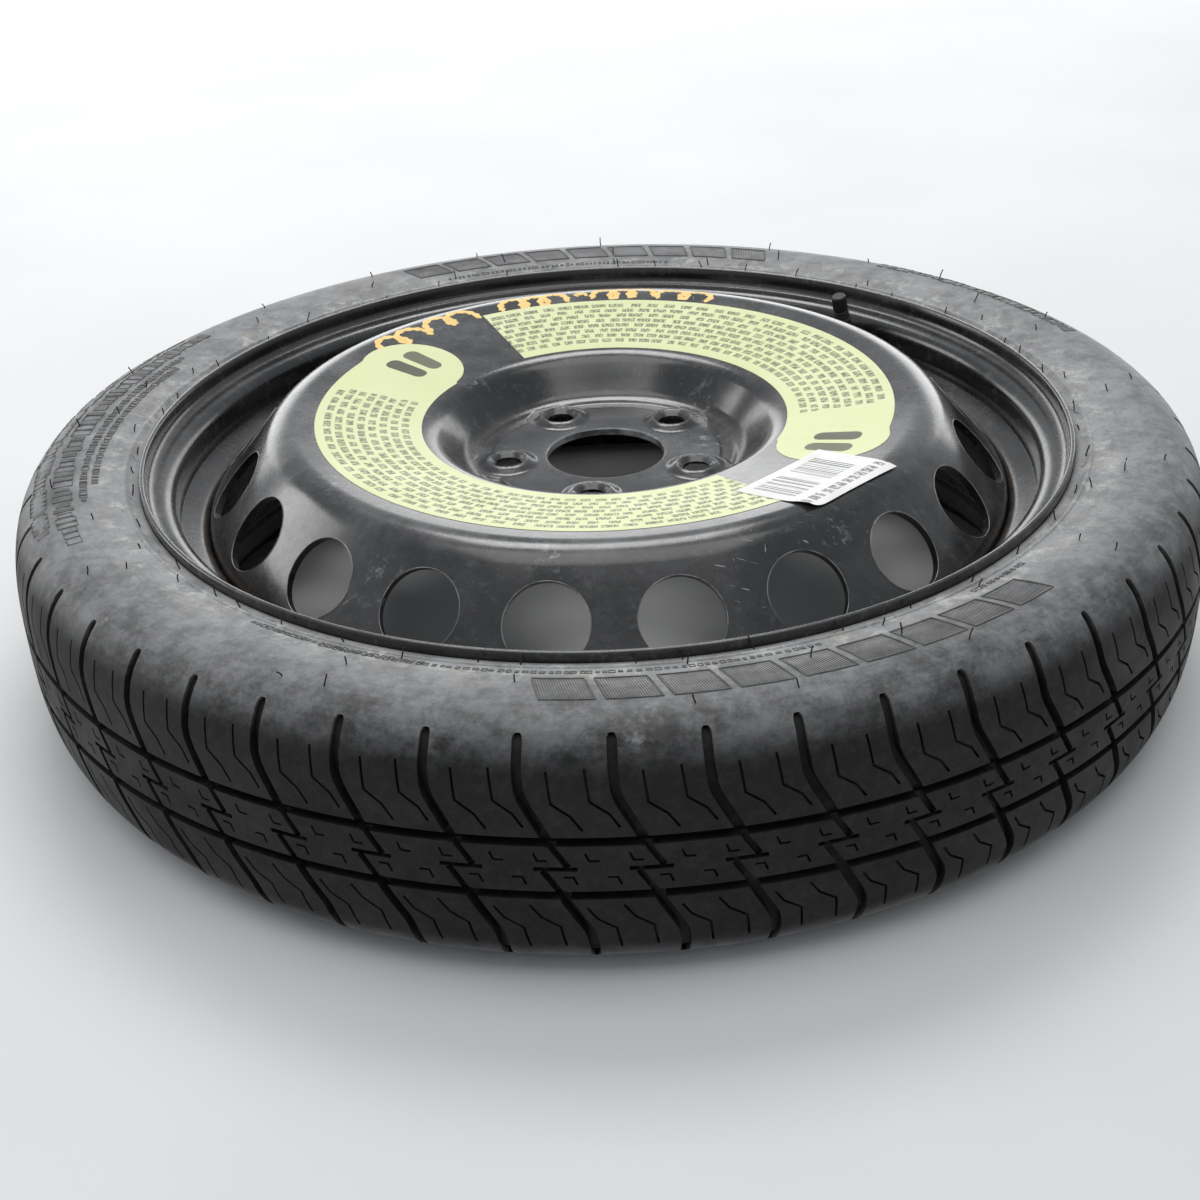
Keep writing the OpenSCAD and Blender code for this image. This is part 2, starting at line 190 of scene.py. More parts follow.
def revolve(line: Sequence[Point], segments: int, closed: bool = True) -> Shell:
    """Turns a line round the axis.

    Args:
        line: Points as (radius, height).
        segments: Flats round the axis.
        closed: Whether the line is a closed section.

    Returns:
        Vertices in millimetres and faces.
    """
    turns = np.arange(segments) * 2 * math.pi / segments
    section = np.array(line, float)
    verts = np.empty((len(section), segments, 3))
    verts[..., 0] = section[:, :1] * np.cos(turns)
    verts[..., 1] = section[:, :1] * np.sin(turns)
    verts[..., 2] = section[:, 1:]
    return verts.reshape(-1, 3), ring_grid(segments, len(section), closed)


def tube(path: Sequence[Vector], radius: float, sides: int = 6, closed: bool = False) -> Shell:
    """Lays a round bar along a path.

    Args:
        path: Points of its centreline in millimetres.
        radius: Radius of the bar.
        sides: Flats round the bar.
        closed: Whether the path is a loop.

    Returns:
        Vertices and faces.
    """
    count = len(path)
    verts: list[Vector] = []
    for i, p in enumerate(path):
        back = path[i - 1] if i or closed else p
        ahead = path[(i + 1) % count] if i < count - 1 or closed else p
        along = (ahead - back).normalized()
        side = along.cross(Vector((0, 0, 1)))
        if side.length <= 0.1:
            side = along.cross(Vector((1, 0, 0)))
        side.normalize()
        up = side.cross(along)
        verts += [p + (side * math.cos(t) + up * math.sin(t)) * radius
                  for t in (2 * math.pi * k / sides for k in range(sides))]
    faces = ring_grid(sides, count, closed)
    if not closed:
        faces += end_faces(sides, count)
    return np.array(verts), faces


def film(top: Sequence[Vector], low: Sequence[Vector], width: int) -> Shell:
    """Closes two like grids of points into a thin film.

    Args:
        top: Points of the upper grid, row by row.
        low: Points of the lower grid, in the same order.
        width: Points in each row.

    Returns:
        Vertices and faces.
    """
    half, rows = len(top), len(top) // width
    faces: Faces = []
    for i in range(rows - 1):
        for j in range(width - 1):
            a = i * width + j
            quad = (a, a + width, a + width + 1, a + 1)
            faces += [quad, tuple(half + k for k in reversed(quad))]
    border = [i * width for i in range(rows)] + [half - width + j for j in range(1, width)]
    border += [i * width + width - 1 for i in reversed(range(rows - 1))] + [*reversed(range(1, width - 1))]
    faces += [(a, b, half + b, half + a) for a, b in zip(border, border[1:] + border[:1])]
    return np.array([*top, *low]), faces


def joined(parts: Sequence[Shell]) -> Shell:
    """Puts several meshes together.

    Args:
        parts: The meshes.

    Returns:
        All their vertices and all their faces.
    """
    faces: Faces = []
    start = 0
    for points, polygons in parts:
        faces += [tuple(start + k for k in polygon) for polygon in polygons]
        start += len(points)
    return np.vstack([points for points, _ in parts]), faces


def make_mesh(name: str, shell: Shell, sharp: float = 35.0, place: Matrix | None = None,
              uvs: Sequence[Point] = ()) -> bpy.types.Object:
    """Makes an object from millimetres about the wheel's centre.

    Args:
        name: The object's name.
        shell: Its vertices in millimetres and its faces.
        sharp: Edges that bend more than this many degrees stay sharp.
        place: A placement applied to the vertices, in millimetres.
        uvs: Texture coordinates for each vertex, in millimetres.

    Returns:
        The object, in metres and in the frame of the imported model.
    """
    verts, faces = shell
    mesh = bpy.data.meshes.new(name)
    mesh.from_pydata([tuple(v) for v in verts], [], faces)
    if uvs:
        layer = mesh.uv_layers.new(name="UVMap")
        for loop in mesh.loops:
            layer.data[loop.index].uv = uvs[loop.vertex_index]
    if place is not None:
        mesh.transform(place)
    mesh.transform(Matrix.Translation((0, 0, CENTRE_Z)))
    mesh.transform(Matrix.Scale(MM, 4))
    piece = bpy.data.objects.new(name, mesh)
    bpy.context.scene.collection.objects.link(piece)
    settle(piece, sharp)
    return piece


def settle(piece: bpy.types.Object, sharp: float) -> None:
    """Merges doubles, turns the faces outwards and sets smooth and sharp shading.

    Args:
        piece: The object to settle.
        sharp: Edges that bend more than this many degrees stay sharp.
    """
    work = bmesh.new()
    work.from_mesh(piece.data)
    bmesh.ops.remove_doubles(work, verts=work.verts, dist=MERGE)
    bmesh.ops.dissolve_degenerate(work, edges=work.edges, dist=SLIVER)
    bmesh.ops.recalc_face_normals(work, faces=work.faces)
    limit = math.radians(sharp)
    for edge in work.edges:
        edge.smooth = len(edge.link_faces) == 2 and edge.calc_face_angle(0) < limit
    for face in work.faces:
        face.smooth = True
    work.to_mesh(piece.data)
    work.free()


def paint_points(piece: bpy.types.Object, rule: Callable[[np.ndarray], dict[str, np.ndarray]]) -> None:
    """Stores numbers on each point for a material to read.

    Args:
        piece: The object.
        rule: Gives each number by its name, from the points in millimetres about the wheel's centre.
    """
    points = np.empty(len(piece.data.vertices) * 3)
    piece.data.vertices.foreach_get("co", points)
    points = points.reshape(-1, 3) / MM
    points[:, 2] -= CENTRE_Z
    for name, values in rule(points).items():
        layer = piece.data.attributes.new(name, "FLOAT", "POINT")
        layer.data.foreach_set("value", np.asarray(values, np.float32))


Socket = bpy.types.NodeSocket


class Term:
    """An output of a material's node graph; arithmetic on it adds nodes to the graph."""

    def __init__(self, graph: "Graph", socket: Socket) -> None:
        """Holds an output of the graph."""
        self.graph = graph
        self.socket = socket

    def __add__(self, other: "Value") -> "Term":
        """This number plus another."""
        return self.graph.math("ADD", self, other)

    def __sub__(self, other: "Value") -> "Term":
        """This number less another."""
        return self.graph.math("SUBTRACT", self, other)

    def __mul__(self, other: "Value") -> "Term":
        """This number times another."""
        return self.graph.math("MULTIPLY", self, other)

    def __truediv__(self, other: "Value") -> "Term":
        """This number divided by another."""
        return self.graph.math("DIVIDE", self, other)

    def larger(self, other: "Value") -> "Term":
        """The larger of this number and another."""
        return self.graph.math("MAXIMUM", self, other)

    def smaller(self, other: "Value") -> "Term":
        """The smaller of this number and another."""
        return self.graph.math("MINIMUM", self, other)

    def above(self, limit: "Value") -> "Term":
        """1 where this number is above a limit, and 0 elsewhere."""
        return self.graph.math("GREATER_THAN", self, limit)

    def below(self, limit: "Value") -> "Term":
        """1 where this number is below a limit, and 0 elsewhere."""
        return self.graph.math("LESS_THAN", self, limit)

    def between(self, low: float, high: float) -> "Term":
        """1 where this number is between two limits, and 0 elsewhere."""
        return self.above(low) * self.below(high)

    def unsigned(self) -> "Term":
        """This number without its sign."""
        return self.graph.math("ABSOLUTE", self)

    def root(self) -> "Term":
        """The square root of this number."""
        return self.graph.math("SQRT", self)

    def whole(self) -> "Term":
        """The whole number below this one."""
        return self.graph.math("FLOOR", self)

    def rest(self) -> "Term":
        """What this number is above the whole number below it."""
        return self.graph.math("FRACT", self)

    def span(self, low: float, high: float, to_low: float = 0.0, to_high: float = 1.0) -> "Term":
        """Carries this number smoothly from one range to another and holds it inside.

        Args:
            low: Where the first range starts.
            high: Where it ends.
            to_low: Where the second range starts.
            to_high: Where it ends.

        Returns:
            The number in the second range.
        """
        node = self.graph.add("ShaderNodeMapRange", interpolation_type="SMOOTHSTEP")
        for key, number in zip(("Value", "From Min", "From Max", "To Min", "To Max"),
                               (self, low, high, to_low, to_high)):
            self.graph.feed(node.inputs[key], number)
        return Term(self.graph, node.outputs["Result"])


Value = float | Term
Colour = Corner | Term


class Graph:
    """The nodes of one material, built by short calls."""

    def __init__(self, name: str) -> None:
        """Starts a material that holds one shader.

        Args:
            name: The material's name.
        """
        self.material = bpy.data.materials.new(name)
        self.material.use_nodes = True
        self.tree = self.material.node_tree
        self.shader = self.tree.nodes["Principled BSDF"]
        self.place = Term(self, self.add("ShaderNodeTexCoord").outputs["Object"])

    def add(self, kind: str, **settings: str) -> bpy.types.Node:
        """Adds a node.

        Args:
            kind: The node's type.
            **settings: Properties of the node and their values.

        Returns:
            The node.
        """
        node = self.tree.nodes.new(kind)
        for key, value in settings.items():
            setattr(node, key, value)
        return node

    def feed(self, socket: Socket, value: Value | Sequence[float]) -> None:
        """Links an input to a term, or sets its value.

        Args:
            socket: The input.
            value: The term or the value.
        """
        if isinstance(value, Term):
            self.tree.links.new(value.socket, socket)
        else:
            socket.default_value = value

    def math(self, operation: str, a: Value, b: Value = 0.0) -> Term:
        """Adds a math node.

        Args:
            operation: What the node does.
            a: Its first number.
            b: Its second number, which some operations leave out.

        Returns:
            The result.
        """
        node = self.add("ShaderNodeMath", operation=operation)
        for socket, value in zip(node.inputs, (a, b)):
            self.feed(socket, value)
        return Term(self, node.outputs[0])

    def noise(self, scale: float, detail: float = 4.0, rough: float = 0.55, stretch: Corner = (1, 1, 1),
              vector: Term | None = None) -> Term:
        """Adds noise between 0 and 1.

        Args:
            scale: Grains in each metre, or in each unit of the vector.
            detail: How many finer grains are laid over it.
            rough: How strong the finer grains are.
            stretch: A scale for each axis.
            vector: Where the noise is read, instead of the place on the object.

        Returns:
            The noise.
        """
        mapping = self.add("ShaderNodeMapping")
        self.feed(mapping.inputs["Vector"], vector or self.place)
        self.feed(mapping.inputs["Scale"], stretch)
        node = self.add("ShaderNodeTexNoise")
        self.feed(node.inputs["Vector"], Term(self, mapping.outputs[0]))
        for key, number in (("Scale", scale), ("Detail", detail), ("Roughness", rough)):
            self.feed(node.inputs[key], number)
        return Term(self, node.outputs["Fac"])

    def mix(self, share: Value, a: Colour, b: Colour) -> Term:
        """Mixes two colours.

        Args:
            share: Share of the second colour.
            a: The first colour.
            b: The second colour.

        Returns:
            The colour between them.
        """
        node = self.add("ShaderNodeMix", data_type="RGBA")
        self.feed(node.inputs[0], share)
        for socket, value in ((node.inputs[6], a), (node.inputs[7], b)):
            self.feed(socket, value if isinstance(value, Term) else (*value, 1.0))
        return Term(self, node.outputs[2])

    def parts(self, vector: Term) -> tuple[Term, Term, Term]:
        """Splits a vector.

        Args:
            vector: The vector.

        Returns:
            Its three numbers.
        """
        node = self.add("ShaderNodeSeparateXYZ")
        self.feed(node.inputs[0], vector)
        x, y, z = (Term(self, output) for output in node.outputs)
        return x, y, z

    def vector(self, *numbers: Term) -> Term:
        """Puts numbers together.

        Args:
            *numbers: Up to three numbers.

        Returns:
            The vector.
        """
        node = self.add("ShaderNodeCombineXYZ")
        for socket, number in zip(node.inputs, numbers):
            self.feed(socket, number)
        return Term(self, node.outputs[0])

    def cylinder(self) -> tuple[Term, Term, Term]:
        """Finds where a place is about the wheel's axis.

        Returns:
            Radius in millimetres, direction in radians and height above the centre plane in millimetres.
        """
        x, y, z = self.parts(self.place)
        radius = (x * x + y * y).root()
        return radius * (1 / MM), self.math("ARCTAN2", y, x), z * (1 / MM) - CENTRE_Z

    def upward(self) -> Term:
        """How far the surface faces up, from -1 to 1."""
        return self.parts(Term(self, self.add("ShaderNodeNewGeometry").outputs["Normal"]))[2]

    def number(self, name: str) -> Term:
        """A number stored on the mesh."""
        return Term(self, self.add("ShaderNodeAttribute", attribute_name=name).outputs["Fac"])

    def uv(self) -> Term:
        """The texture coordinates of the mesh."""
        return Term(self, self.add("ShaderNodeUVMap").outputs[0])

    def bar_rows(self, along: Term, across: Term, length: float, edges: Point, row: float) -> Term:
        """Draws rows of bars of uneven length, broken up by fine strokes.

        Args:
            along: Distance along the rows.
            across: Distance across them.
            length: Mean length of a bar.
            edges: Where the rows start and end across.
            row: Height of a row.

        Returns:
            Up to 1 on a bar and 0 off it.
        """
        line, part = (across / row).whole(), (across / row).rest()
        start = along / length + line * 0.37
        cell = start.rest()
        seed = self.add("ShaderNodeTexWhiteNoise", noise_dimensions="2D")
        self.feed(seed.inputs["Vector"], self.vector(start.whole(), line))
        end = Term(self, seed.outputs["Value"]) * 0.35 + 0.58
        wide = cell.below(end) * cell.above(0.06)
        strokes = self.noise(1.25, 1, 0.4, (1, 0.3, 0), self.uv()).span(0.42, 0.54, 0.3, 1.0)
        return part.between(0.14, 0.8) * wide * (across.between(*edges) * strokes)

    def bump(self, height: Value, distance: float, strength: float = 1.0) -> None:
        """Raises the surface, over any bump that it already has.

        Args:
            height: How high each place is, from 0 to 1.
            distance: The height in metres that 1 stands for.
            strength: Share of the bump that is used.
        """
        node = self.add("ShaderNodeBump")
        for key, value in (("Height", height), ("Distance", distance), ("Strength", strength)):
            self.feed(node.inputs[key], value)
        normal = self.shader.inputs["Normal"]
        if normal.links:
            self.feed(node.inputs["Normal"], Term(self, normal.links[0].from_socket))
        self.feed(normal, Term(self, node.outputs[0]))

    def set(self, **inputs: Value | Corner) -> None:
        """Sets inputs of the shader.

        Args:
            **inputs: Values by the inputs' names, with underscores for spaces.
        """
        for key, value in inputs.items():
            if isinstance(value, tuple):
                value = (*value, 1.0)
            self.feed(self.shader.inputs[key.replace("_", " ")], value)


@dataclass(frozen=True)
class TyreRubber:
    """Black rubber: dark on the tread, dusty grey on the sidewall with painted shade in the tread's cuts, and
    rubbed pale beside the bead.
    """

    fresh: Corner = (0.0105, 0.0105, 0.0108)
    dusty: Corner = (0.245, 0.245, 0.247)
    earth: Corner = (0.14, 0.105, 0.07)
    chalk: Corner = (0.42, 0.42, 0.42)
    rubbed: Corner = (0.52, 0.52, 0.5)
    rust: Corner = (0.3, 0.235, 0.16)
    tread_edge: float = 43.0
    side_edge: float = 62.5
    pale_r: float = 262.0
    dark_r: float = 326.0

    def build(self) -> bpy.types.Material:
        """Makes the material, which reads the number "sunk" from the mesh to paint shade into the tread's
        cuts.

        Returns:
            The material.
        """
        g = Graph("tyre_rubber")
        radius, turn, height = g.cylinder()
        side = height.unsigned().span(self.tread_edge, self.side_edge, 0.02, 1.0)
        # painted shade: where the mesh is sunk in a cut the dusty grey is taken away, so the cut stays near
        # the fresh black
        side = side * g.number("sunk").span(0.0, 1.0, 1.0, 0.08)
        cloud = g.noise(17, 6, 0.66).span(0.34, 0.66)
        worn = side * cloud.span(0.0, 1.0, 0.72, 1.0) * radius.span(self.pale_r, self.dark_r, 1.04, 0.46)
        rings = g.vector(radius * 0.4, turn * 5.0, height * 0.4)
        streak = g.noise(1.0, 6, 0.75, vector=rings).span(0.36, 0.68, -0.05, 0.06) * side
        blotch = g.noise(46, 7, 0.78).span(0.38, 0.64, -0.26, 0.2) * side
        speckle = (g.noise(150, 6, 0.75) - 0.5) * side.span(0.0, 1.0, 0.25, 0.6)
        colour = g.mix(((worn + blotch) + (streak + speckle)).larger(0.0), self.fresh, self.dusty)
        stain = g.noise(9, 5, 0.6, (1, 1, 2)).span(0.6, 0.78) * side.span(0.1, 1.0, 0.12, 0.42)
        colour = g.mix(stain, colour, self.earth)
        white = g.noise(38, 7, 0.75).span(0.6, 0.76) * side.span(0.3, 1.0, 0.03, 0.55)
        colour = g.mix(white, colour, self.chalk)
        bead = radius.span(self.pale_r - 3, self.pale_r + 2) * radius.span(271.0, 292.0, 1.0, 0.0)
        bead = bead * side.span(0.5, 1.0)
        rubbed = g.noise(75, 8, 0.82, (1, 1, 0.5)).span(0.5, 0.63)
        colour = g.mix(rubbed * (bead * 0.6), colour, self.rubbed)
        rust = g.noise(52, 6, 0.7).span(0.56, 0.68)
        colour = g.mix(rust * (bead * 0.4), colour, self.rust)
        g.set(Base_Color=colour, Roughness=cloud.span(0, 1, 0.5, 0.66),
              Specular_IOR_Level=side.span(0.0, 1.0, 0.24, 0.4),
              Sheen_Weight=side * 0.3, Sheen_Roughness=0.45)
        g.bump(g.noise(900, 3, 0.6), 0.00012, 0.5)
        g.bump(g.noise(60, 4, 0.6), 0.0005, 0.25)
        return g.material


@dataclass(frozen=True)
class BlackPaint:
    """Satin black paint on pressed steel, with dust, fine scratches and dirt in the valleys."""

    name: str
    paint: Corner = (0.009, 0.009, 0.0095)
    dust: Corner = (0.27, 0.27, 0.272)
    speck: Corner = (0.3, 0.3, 0.3)
    scuff: Corner = (0.4, 0.4, 0.4)
    scratch: Corner = (0.42, 0.42, 0.43)
    grime: Corner = (0.17, 0.125, 0.085)
    bare: Corner = (0.34, 0.34, 0.345)
    dust_share: float = 0.15
    scratch_share: float = 0.8
    rough_low: float = 0.19
    rough_high: float = 0.32

    def build(self) -> bpy.types.Material:
        """Makes the material, which reads the numbers "dirt", "wear" and "scuff" from the mesh.

        Returns:
            The material.
        """
        g = Graph(self.name)
        cloud = g.noise(11, 6, 0.6).span(0.32, 0.7)
        grit = g.noise(260, 6, 0.75).span(0.36, 0.66)
        film = g.upward().span(0.45, 1.0, 0.12, 1.0)
        film = film * cloud.span(0, 1, 0.35 * self.dust_share, self.dust_share)
        film = film * g.noise(38, 7, 0.75).span(0.35, 0.65, 0.3, 1.7)
        colour = g.mix(film, self.paint, self.dust)
        colour = g.mix(g.noise(420, 4, 0.7).span(0.62, 0.74) * 0.16, colour, self.speck)
        fleck = g.noise(110, 7, 0.78, (1, 1.5, 1)).span(0.53, 0.68)
        colour = g.mix(fleck * g.number("scuff"), colour, self.scuff)
        long_x = g.noise(26, 2, 0.5, (1, 34, 9)).span(0.71, 0.75)
        long_y = g.noise(31, 2, 0.5, (30, 1, 9)).span(0.72, 0.76)
        patch = g.noise(7, 3, 0.5).span(0.52, 0.66)
        scratch = long_x.larger(long_y) * (patch * self.scratch_share)
        colour = g.mix(scratch, colour, self.scratch)
        grime = g.number("dirt") * g.noise(90, 6, 0.7).span(0.3, 0.62, 0.25, 1.0)
        colour = g.mix(grime, colour, self.grime)
        bare = g.number("wear") * g.noise(55, 4, 0.6).span(0.35, 0.6, 0.2, 1.0)
        colour = g.mix(bare, colour, self.bare)
        rough = cloud.span(0, 1, self.rough_low, self.rough_high) + (grit - 0.5) * 0.08
        g.set(Base_Color=colour, Roughness=rough + (grime + scratch) * 0.25, Specular_IOR_Level=0.55,
              Coat_Weight=0.45, Coat_Roughness=0.16)
        g.bump(g.noise(700, 4, 0.65), 0.00007, 0.5)
        g.bump(g.noise(30, 4, 0.55), 0.0007, 0.28)
        return g.material


@dataclass(frozen=True)
class PlainFinish:
    """A rubber, plastic or metal with fine colour variation and grain."""

    name: str
    colour: Corner
    shade: Corner
    rough: float
    metallic: float = 0.0
    grain: float = 700.0
    relief: float = 0.00005

    def build(self) -> bpy.types.Material:
        """Makes the material.

        Returns:
            The material.
        """
        g = Graph(self.name)
        tone = g.noise(120, 5, 0.65).span(0.3, 0.7)
        g.set(Base_Color=g.mix(tone, self.shade, self.colour), Metallic=self.metallic,
              Roughness=g.noise(90, 4).span(0.3, 0.7, self.rough - 0.07, self.rough + 0.09))
        g.bump(g.noise(self.grain, 3, 0.6), self.relief, 0.5)
        return g.material


@dataclass(frozen=True)
class BandVinyl:
    """Yellow-green vinyl with rows of plain bars; texture coordinates are millimetres along and across."""

    vinyl: Corner = (0.67, 0.71, 0.39)
    faded: Corner = (0.71, 0.74, 0.44)
    ink: Corner = (0.09, 0.095, 0.06)
    rubbed: Corner = (0.5, 0.52, 0.42)
    row: float = 6.1
    rows_from: float = 74.0
    block_starts: Point = (14.0, 29.0)
    block_width: float = 10.5
    block_tall: Point = (20.0, 46.0)
    block_corner: float = 4.5

    def block(self, along: Term, across: Term, start: float) -> Term:
        """Draws a plain rounded block in the band's head.

        Args:
            along: Distance along the band.
            across: Distance across the band.
            start: Where the block starts along the band.

        Returns:
            1 on the block and 0 off it.
        """
        low, high = self.block_tall
        x = (along - (start + self.block_width / 2)).unsigned() - self.block_width / 2 + self.block_corner
        y = (across - (low + high) / 2).unsigned() - (high - low) / 2 + self.block_corner
        far_x, far_y = x.larger(0.0), y.larger(0.0)
        corner = (far_x * far_x + far_y * far_y).root()
        return (corner + x.larger(y).smaller(0.0) - self.block_corner).below(0.0)

    def build(self) -> bpy.types.Material:
        """Makes the material.

        Returns:
            The material.
        """
        g = Graph("band_vinyl")
        along, across, _ = g.parts(g.uv())
        rows = g.bar_rows(along, across, 9.5, (self.row, 9 * self.row), self.row)
        printed = rows * along.above(self.rows_from)
        for start in self.block_starts:
            printed = (printed * 0.92).larger(self.block(along, across, start))
        colour = g.mix(g.noise(17, 5, 0.6).span(0.35, 0.7), self.vinyl, self.faded)
        colour = g.mix(printed, colour, self.ink)
        colour = g.mix(g.noise(48, 6, 0.7).span(0.62, 0.74) * 0.35, colour, self.rubbed)
        g.set(Base_Color=colour, Roughness=g.noise(30).span(0.3, 0.7, 0.36, 0.5), Specular_IOR_Level=0.4)
        g.bump(g.noise(45, 3, 0.5), 0.0003, 0.15)
        return g.material


@dataclass(frozen=True)
class StickerPaper:
    """White paper with stripes and plain bars; texture coordinates are millimetres along and across."""

    paper: Corner = (0.82, 0.82, 0.81)
    yellowed: Corner = (0.74, 0.73, 0.7)
    ink: Corner = (0.035, 0.035, 0.035)
    stripes_along: Point = (6.0, 56.0)
    stripes_across: Point = (6.0, 33.0)
    gap_at: float = 31.0
    gap_half: float = 3.2
    bars_across: Point = (39.0, 49.0)

    def build(self) -> bpy.types.Material:
        """Makes the material.

        Returns:
            The material.
        """
        g = Graph("sticker_paper")
        along, across, _ = g.parts(g.uv())
        stripes = g.noise(1.05, 1, 0.4, (1, 0, 0), g.uv()).above(0.52)
        groups = along.between(*self.stripes_along) * (along - self.gap_at).unsigned().above(self.gap_half)
        stripes = stripes * (across.between(*self.stripes_across) * groups)
        bars = g.bar_rows(along, across, 5.2, self.bars_across, 9.6)
        tone = g.mix(g.noise(70, 5, 0.6).span(0.35, 0.7), self.paper, self.yellowed)
        g.set(Base_Color=g.mix((stripes * 0.88).larger(bars * 0.8), tone, self.ink),
              Roughness=g.noise(90).span(0.3, 0.7, 0.6, 0.74))
        g.bump(g.noise(300, 4, 0.6), 0.00006, 0.4)
        return g.material


class Finishes:
    """Every material of the wheel, built once."""

    def __init__(self) -> None:
        """Builds the materials."""
        self.tyre = TyreRubber().build()
        self.rim = BlackPaint("rim_paint", dust_share=0.05, scratch_share=0.2, rough_low=0.22,
                              rough_high=0.33).build()
        self.disc = BlackPaint("disc_paint").build()
        self.vinyl = BandVinyl().build()
        self.paper = StickerPaper().build()
        self.paper_back = PlainFinish("sticker_back", (0.3, 0.22, 0.15), (0.16, 0.11, 0.07), 0.8).build()
        # painted highlight: a light grey on the rounded vent edges, in place of the glint that light gives
        # them
        self.vent_edge_highlight = PlainFinish("vent_edge_highlight", (0.3, 0.3, 0.3), (0.09, 0.09, 0.09), 0.45, 0.3).build()
        self.weld = PlainFinish("weld_bead", (0.09, 0.08, 0.07), (0.04, 0.035, 0.03), 0.5, 0.2,
                                grain=300, relief=0.0003).build()
        self.marker = PlainFinish("paint_marker", (0.9, 0.64, 0.24), (0.8, 0.54, 0.18), 0.6,
                                  grain=500, relief=0.0001).build()
        self.valve = PlainFinish("valve_rubber", (0.03, 0.03, 0.03), (0.015, 0.015, 0.015), 0.55).build()
        self.raised = PlainFinish("raised_rubber", (0.11, 0.11, 0.11), (0.045, 0.045, 0.045), 0.56).build()
        self.hair = PlainFinish("hair_rubber", (0.012, 0.012, 0.012), (0.006, 0.006, 0.006), 0.6).build()
        self.cap = PlainFinish("cap_plastic", (0.022, 0.022, 0.023), (0.012, 0.012, 0.012), 0.42).build()
        self.brass = PlainFinish("machined_brass", (0.72, 0.55, 0.27), (0.6, 0.44, 0.2), 0.3, 1.0).build()
        self.pin = PlainFinish("pin_brass", (0.78, 0.64, 0.36), (0.62, 0.5, 0.26), 0.35, 1.0).build()
        self.steel = PlainFinish("spring_steel", (0.55, 0.55, 0.57), (0.4, 0.4, 0.42), 0.3, 1.0).build()
        self.gasket = PlainFinish("core_gasket_rubber", (0.5, 0.1, 0.08), (0.36, 0.07, 0.05), 0.5).build()
        self.seal = PlainFinish("seal_rubber", (0.05, 0.05, 0.05), (0.03, 0.03, 0.03), 0.6).build()


def finish_piece(piece: bpy.types.Object, material: bpy.types.Material, body: str = WHEEL,
                 replaced: Sequence[str] = ()) -> bpy.types.Object:
    """Dresses a piece and puts it on its body.

    Args:
        piece: The object.
        material: Its material.
        body: The body that it rides on.
        replaced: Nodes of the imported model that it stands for.

    Returns:
        The piece.
    """
    piece.data.materials.clear()
    piece.data.materials.append(material)
    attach(piece, body)
    if replaced:
        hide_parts(*replaced)
    log.info("%s: %d faces on %s", piece.name, len(piece.data.polygons), body)
    return piece


@dataclass
class Part:
    """A sub-assembly of the wheel, with the materials that dress its pieces."""

    finishes: Finishes


@dataclass
class RimShape:
    """Sizes of the rim, in millimetres and degrees."""

    seat_r: float = 243.7
    seat_fall: float = 1.1
    seat_width: float = 12.0
    seat_bend: float = 2.0
    hump: float = 1.2
    hump_in: float = 16.0
    flank_fall: float = 1.6
    flank_tilt: float = 15.0
    lip_r: float = 257.9
    lip_z: float = 65.0
    lip_round: float = 0.7
    flange_z: float = 50.8
    flange_bends: Point = (8.0, 5.8)
    sheet: float = 2.8
    well_r: float = 228.0
    well_top: float = 26.5
    well_bottom: float = 14.0
    well_bends: Point = (5.0, 7.0)
    segments: int = 240

    def line(self, steps: int = 7) -> list[Point]:
        """Draws the side that the tyre sits on, from the outer lip to the inner lip.

        Args:
            steps: Flats in each bend.

        Returns:
            The line as (radius, height) points.
        """
        bend, tilt = self.sheet + 0.4, math.tan(math.radians(self.flank_tilt))
        seat_end, flank_r = self.seat_r - self.seat_fall, self.seat_r - self.flank_fall
        half = [
            (self.lip_r, self.lip_z, 0), (self.lip_r, self.flange_z, self.flange_bends[0]),
            (self.seat_r, self.flange_z, self.flange_bends[1]),
            (seat_end, self.flange_z - self.seat_width, self.seat_bend),
            (seat_end + self.hump, self.flange_z - self.hump_in, bend),
            (flank_r, self.well_top + (flank_r - self.well_r) * tilt, bend),
        ]
        upper_bend, lower_bend = self.well_bends
        well = [(self.well_r, self.well_top, upper_bend), (self.well_r, -self.well_bottom, lower_bend)]
        return fillet(half + well + mirrored(half), steps)

    def section(self) -> list[Point]:
        """Draws the sheet's closed section, with its two lips rounded.

        Returns:
            The section as (radius, height) points.
        """
        seat = self.line()
        air = shifted(seat, -self.sheet)
        (out_r, out_z), (in_r, in_z), soft = seat[0], air[0], self.lip_round
        top = [(out_r, out_z - soft), (out_r - soft, out_z), (in_r + soft, in_z), (in_r, in_z - soft)]
        return resampled([*seat[1:-1], *((r, -z) for r, z in top), *reversed(air[1:-1]), *reversed(top)], 9)


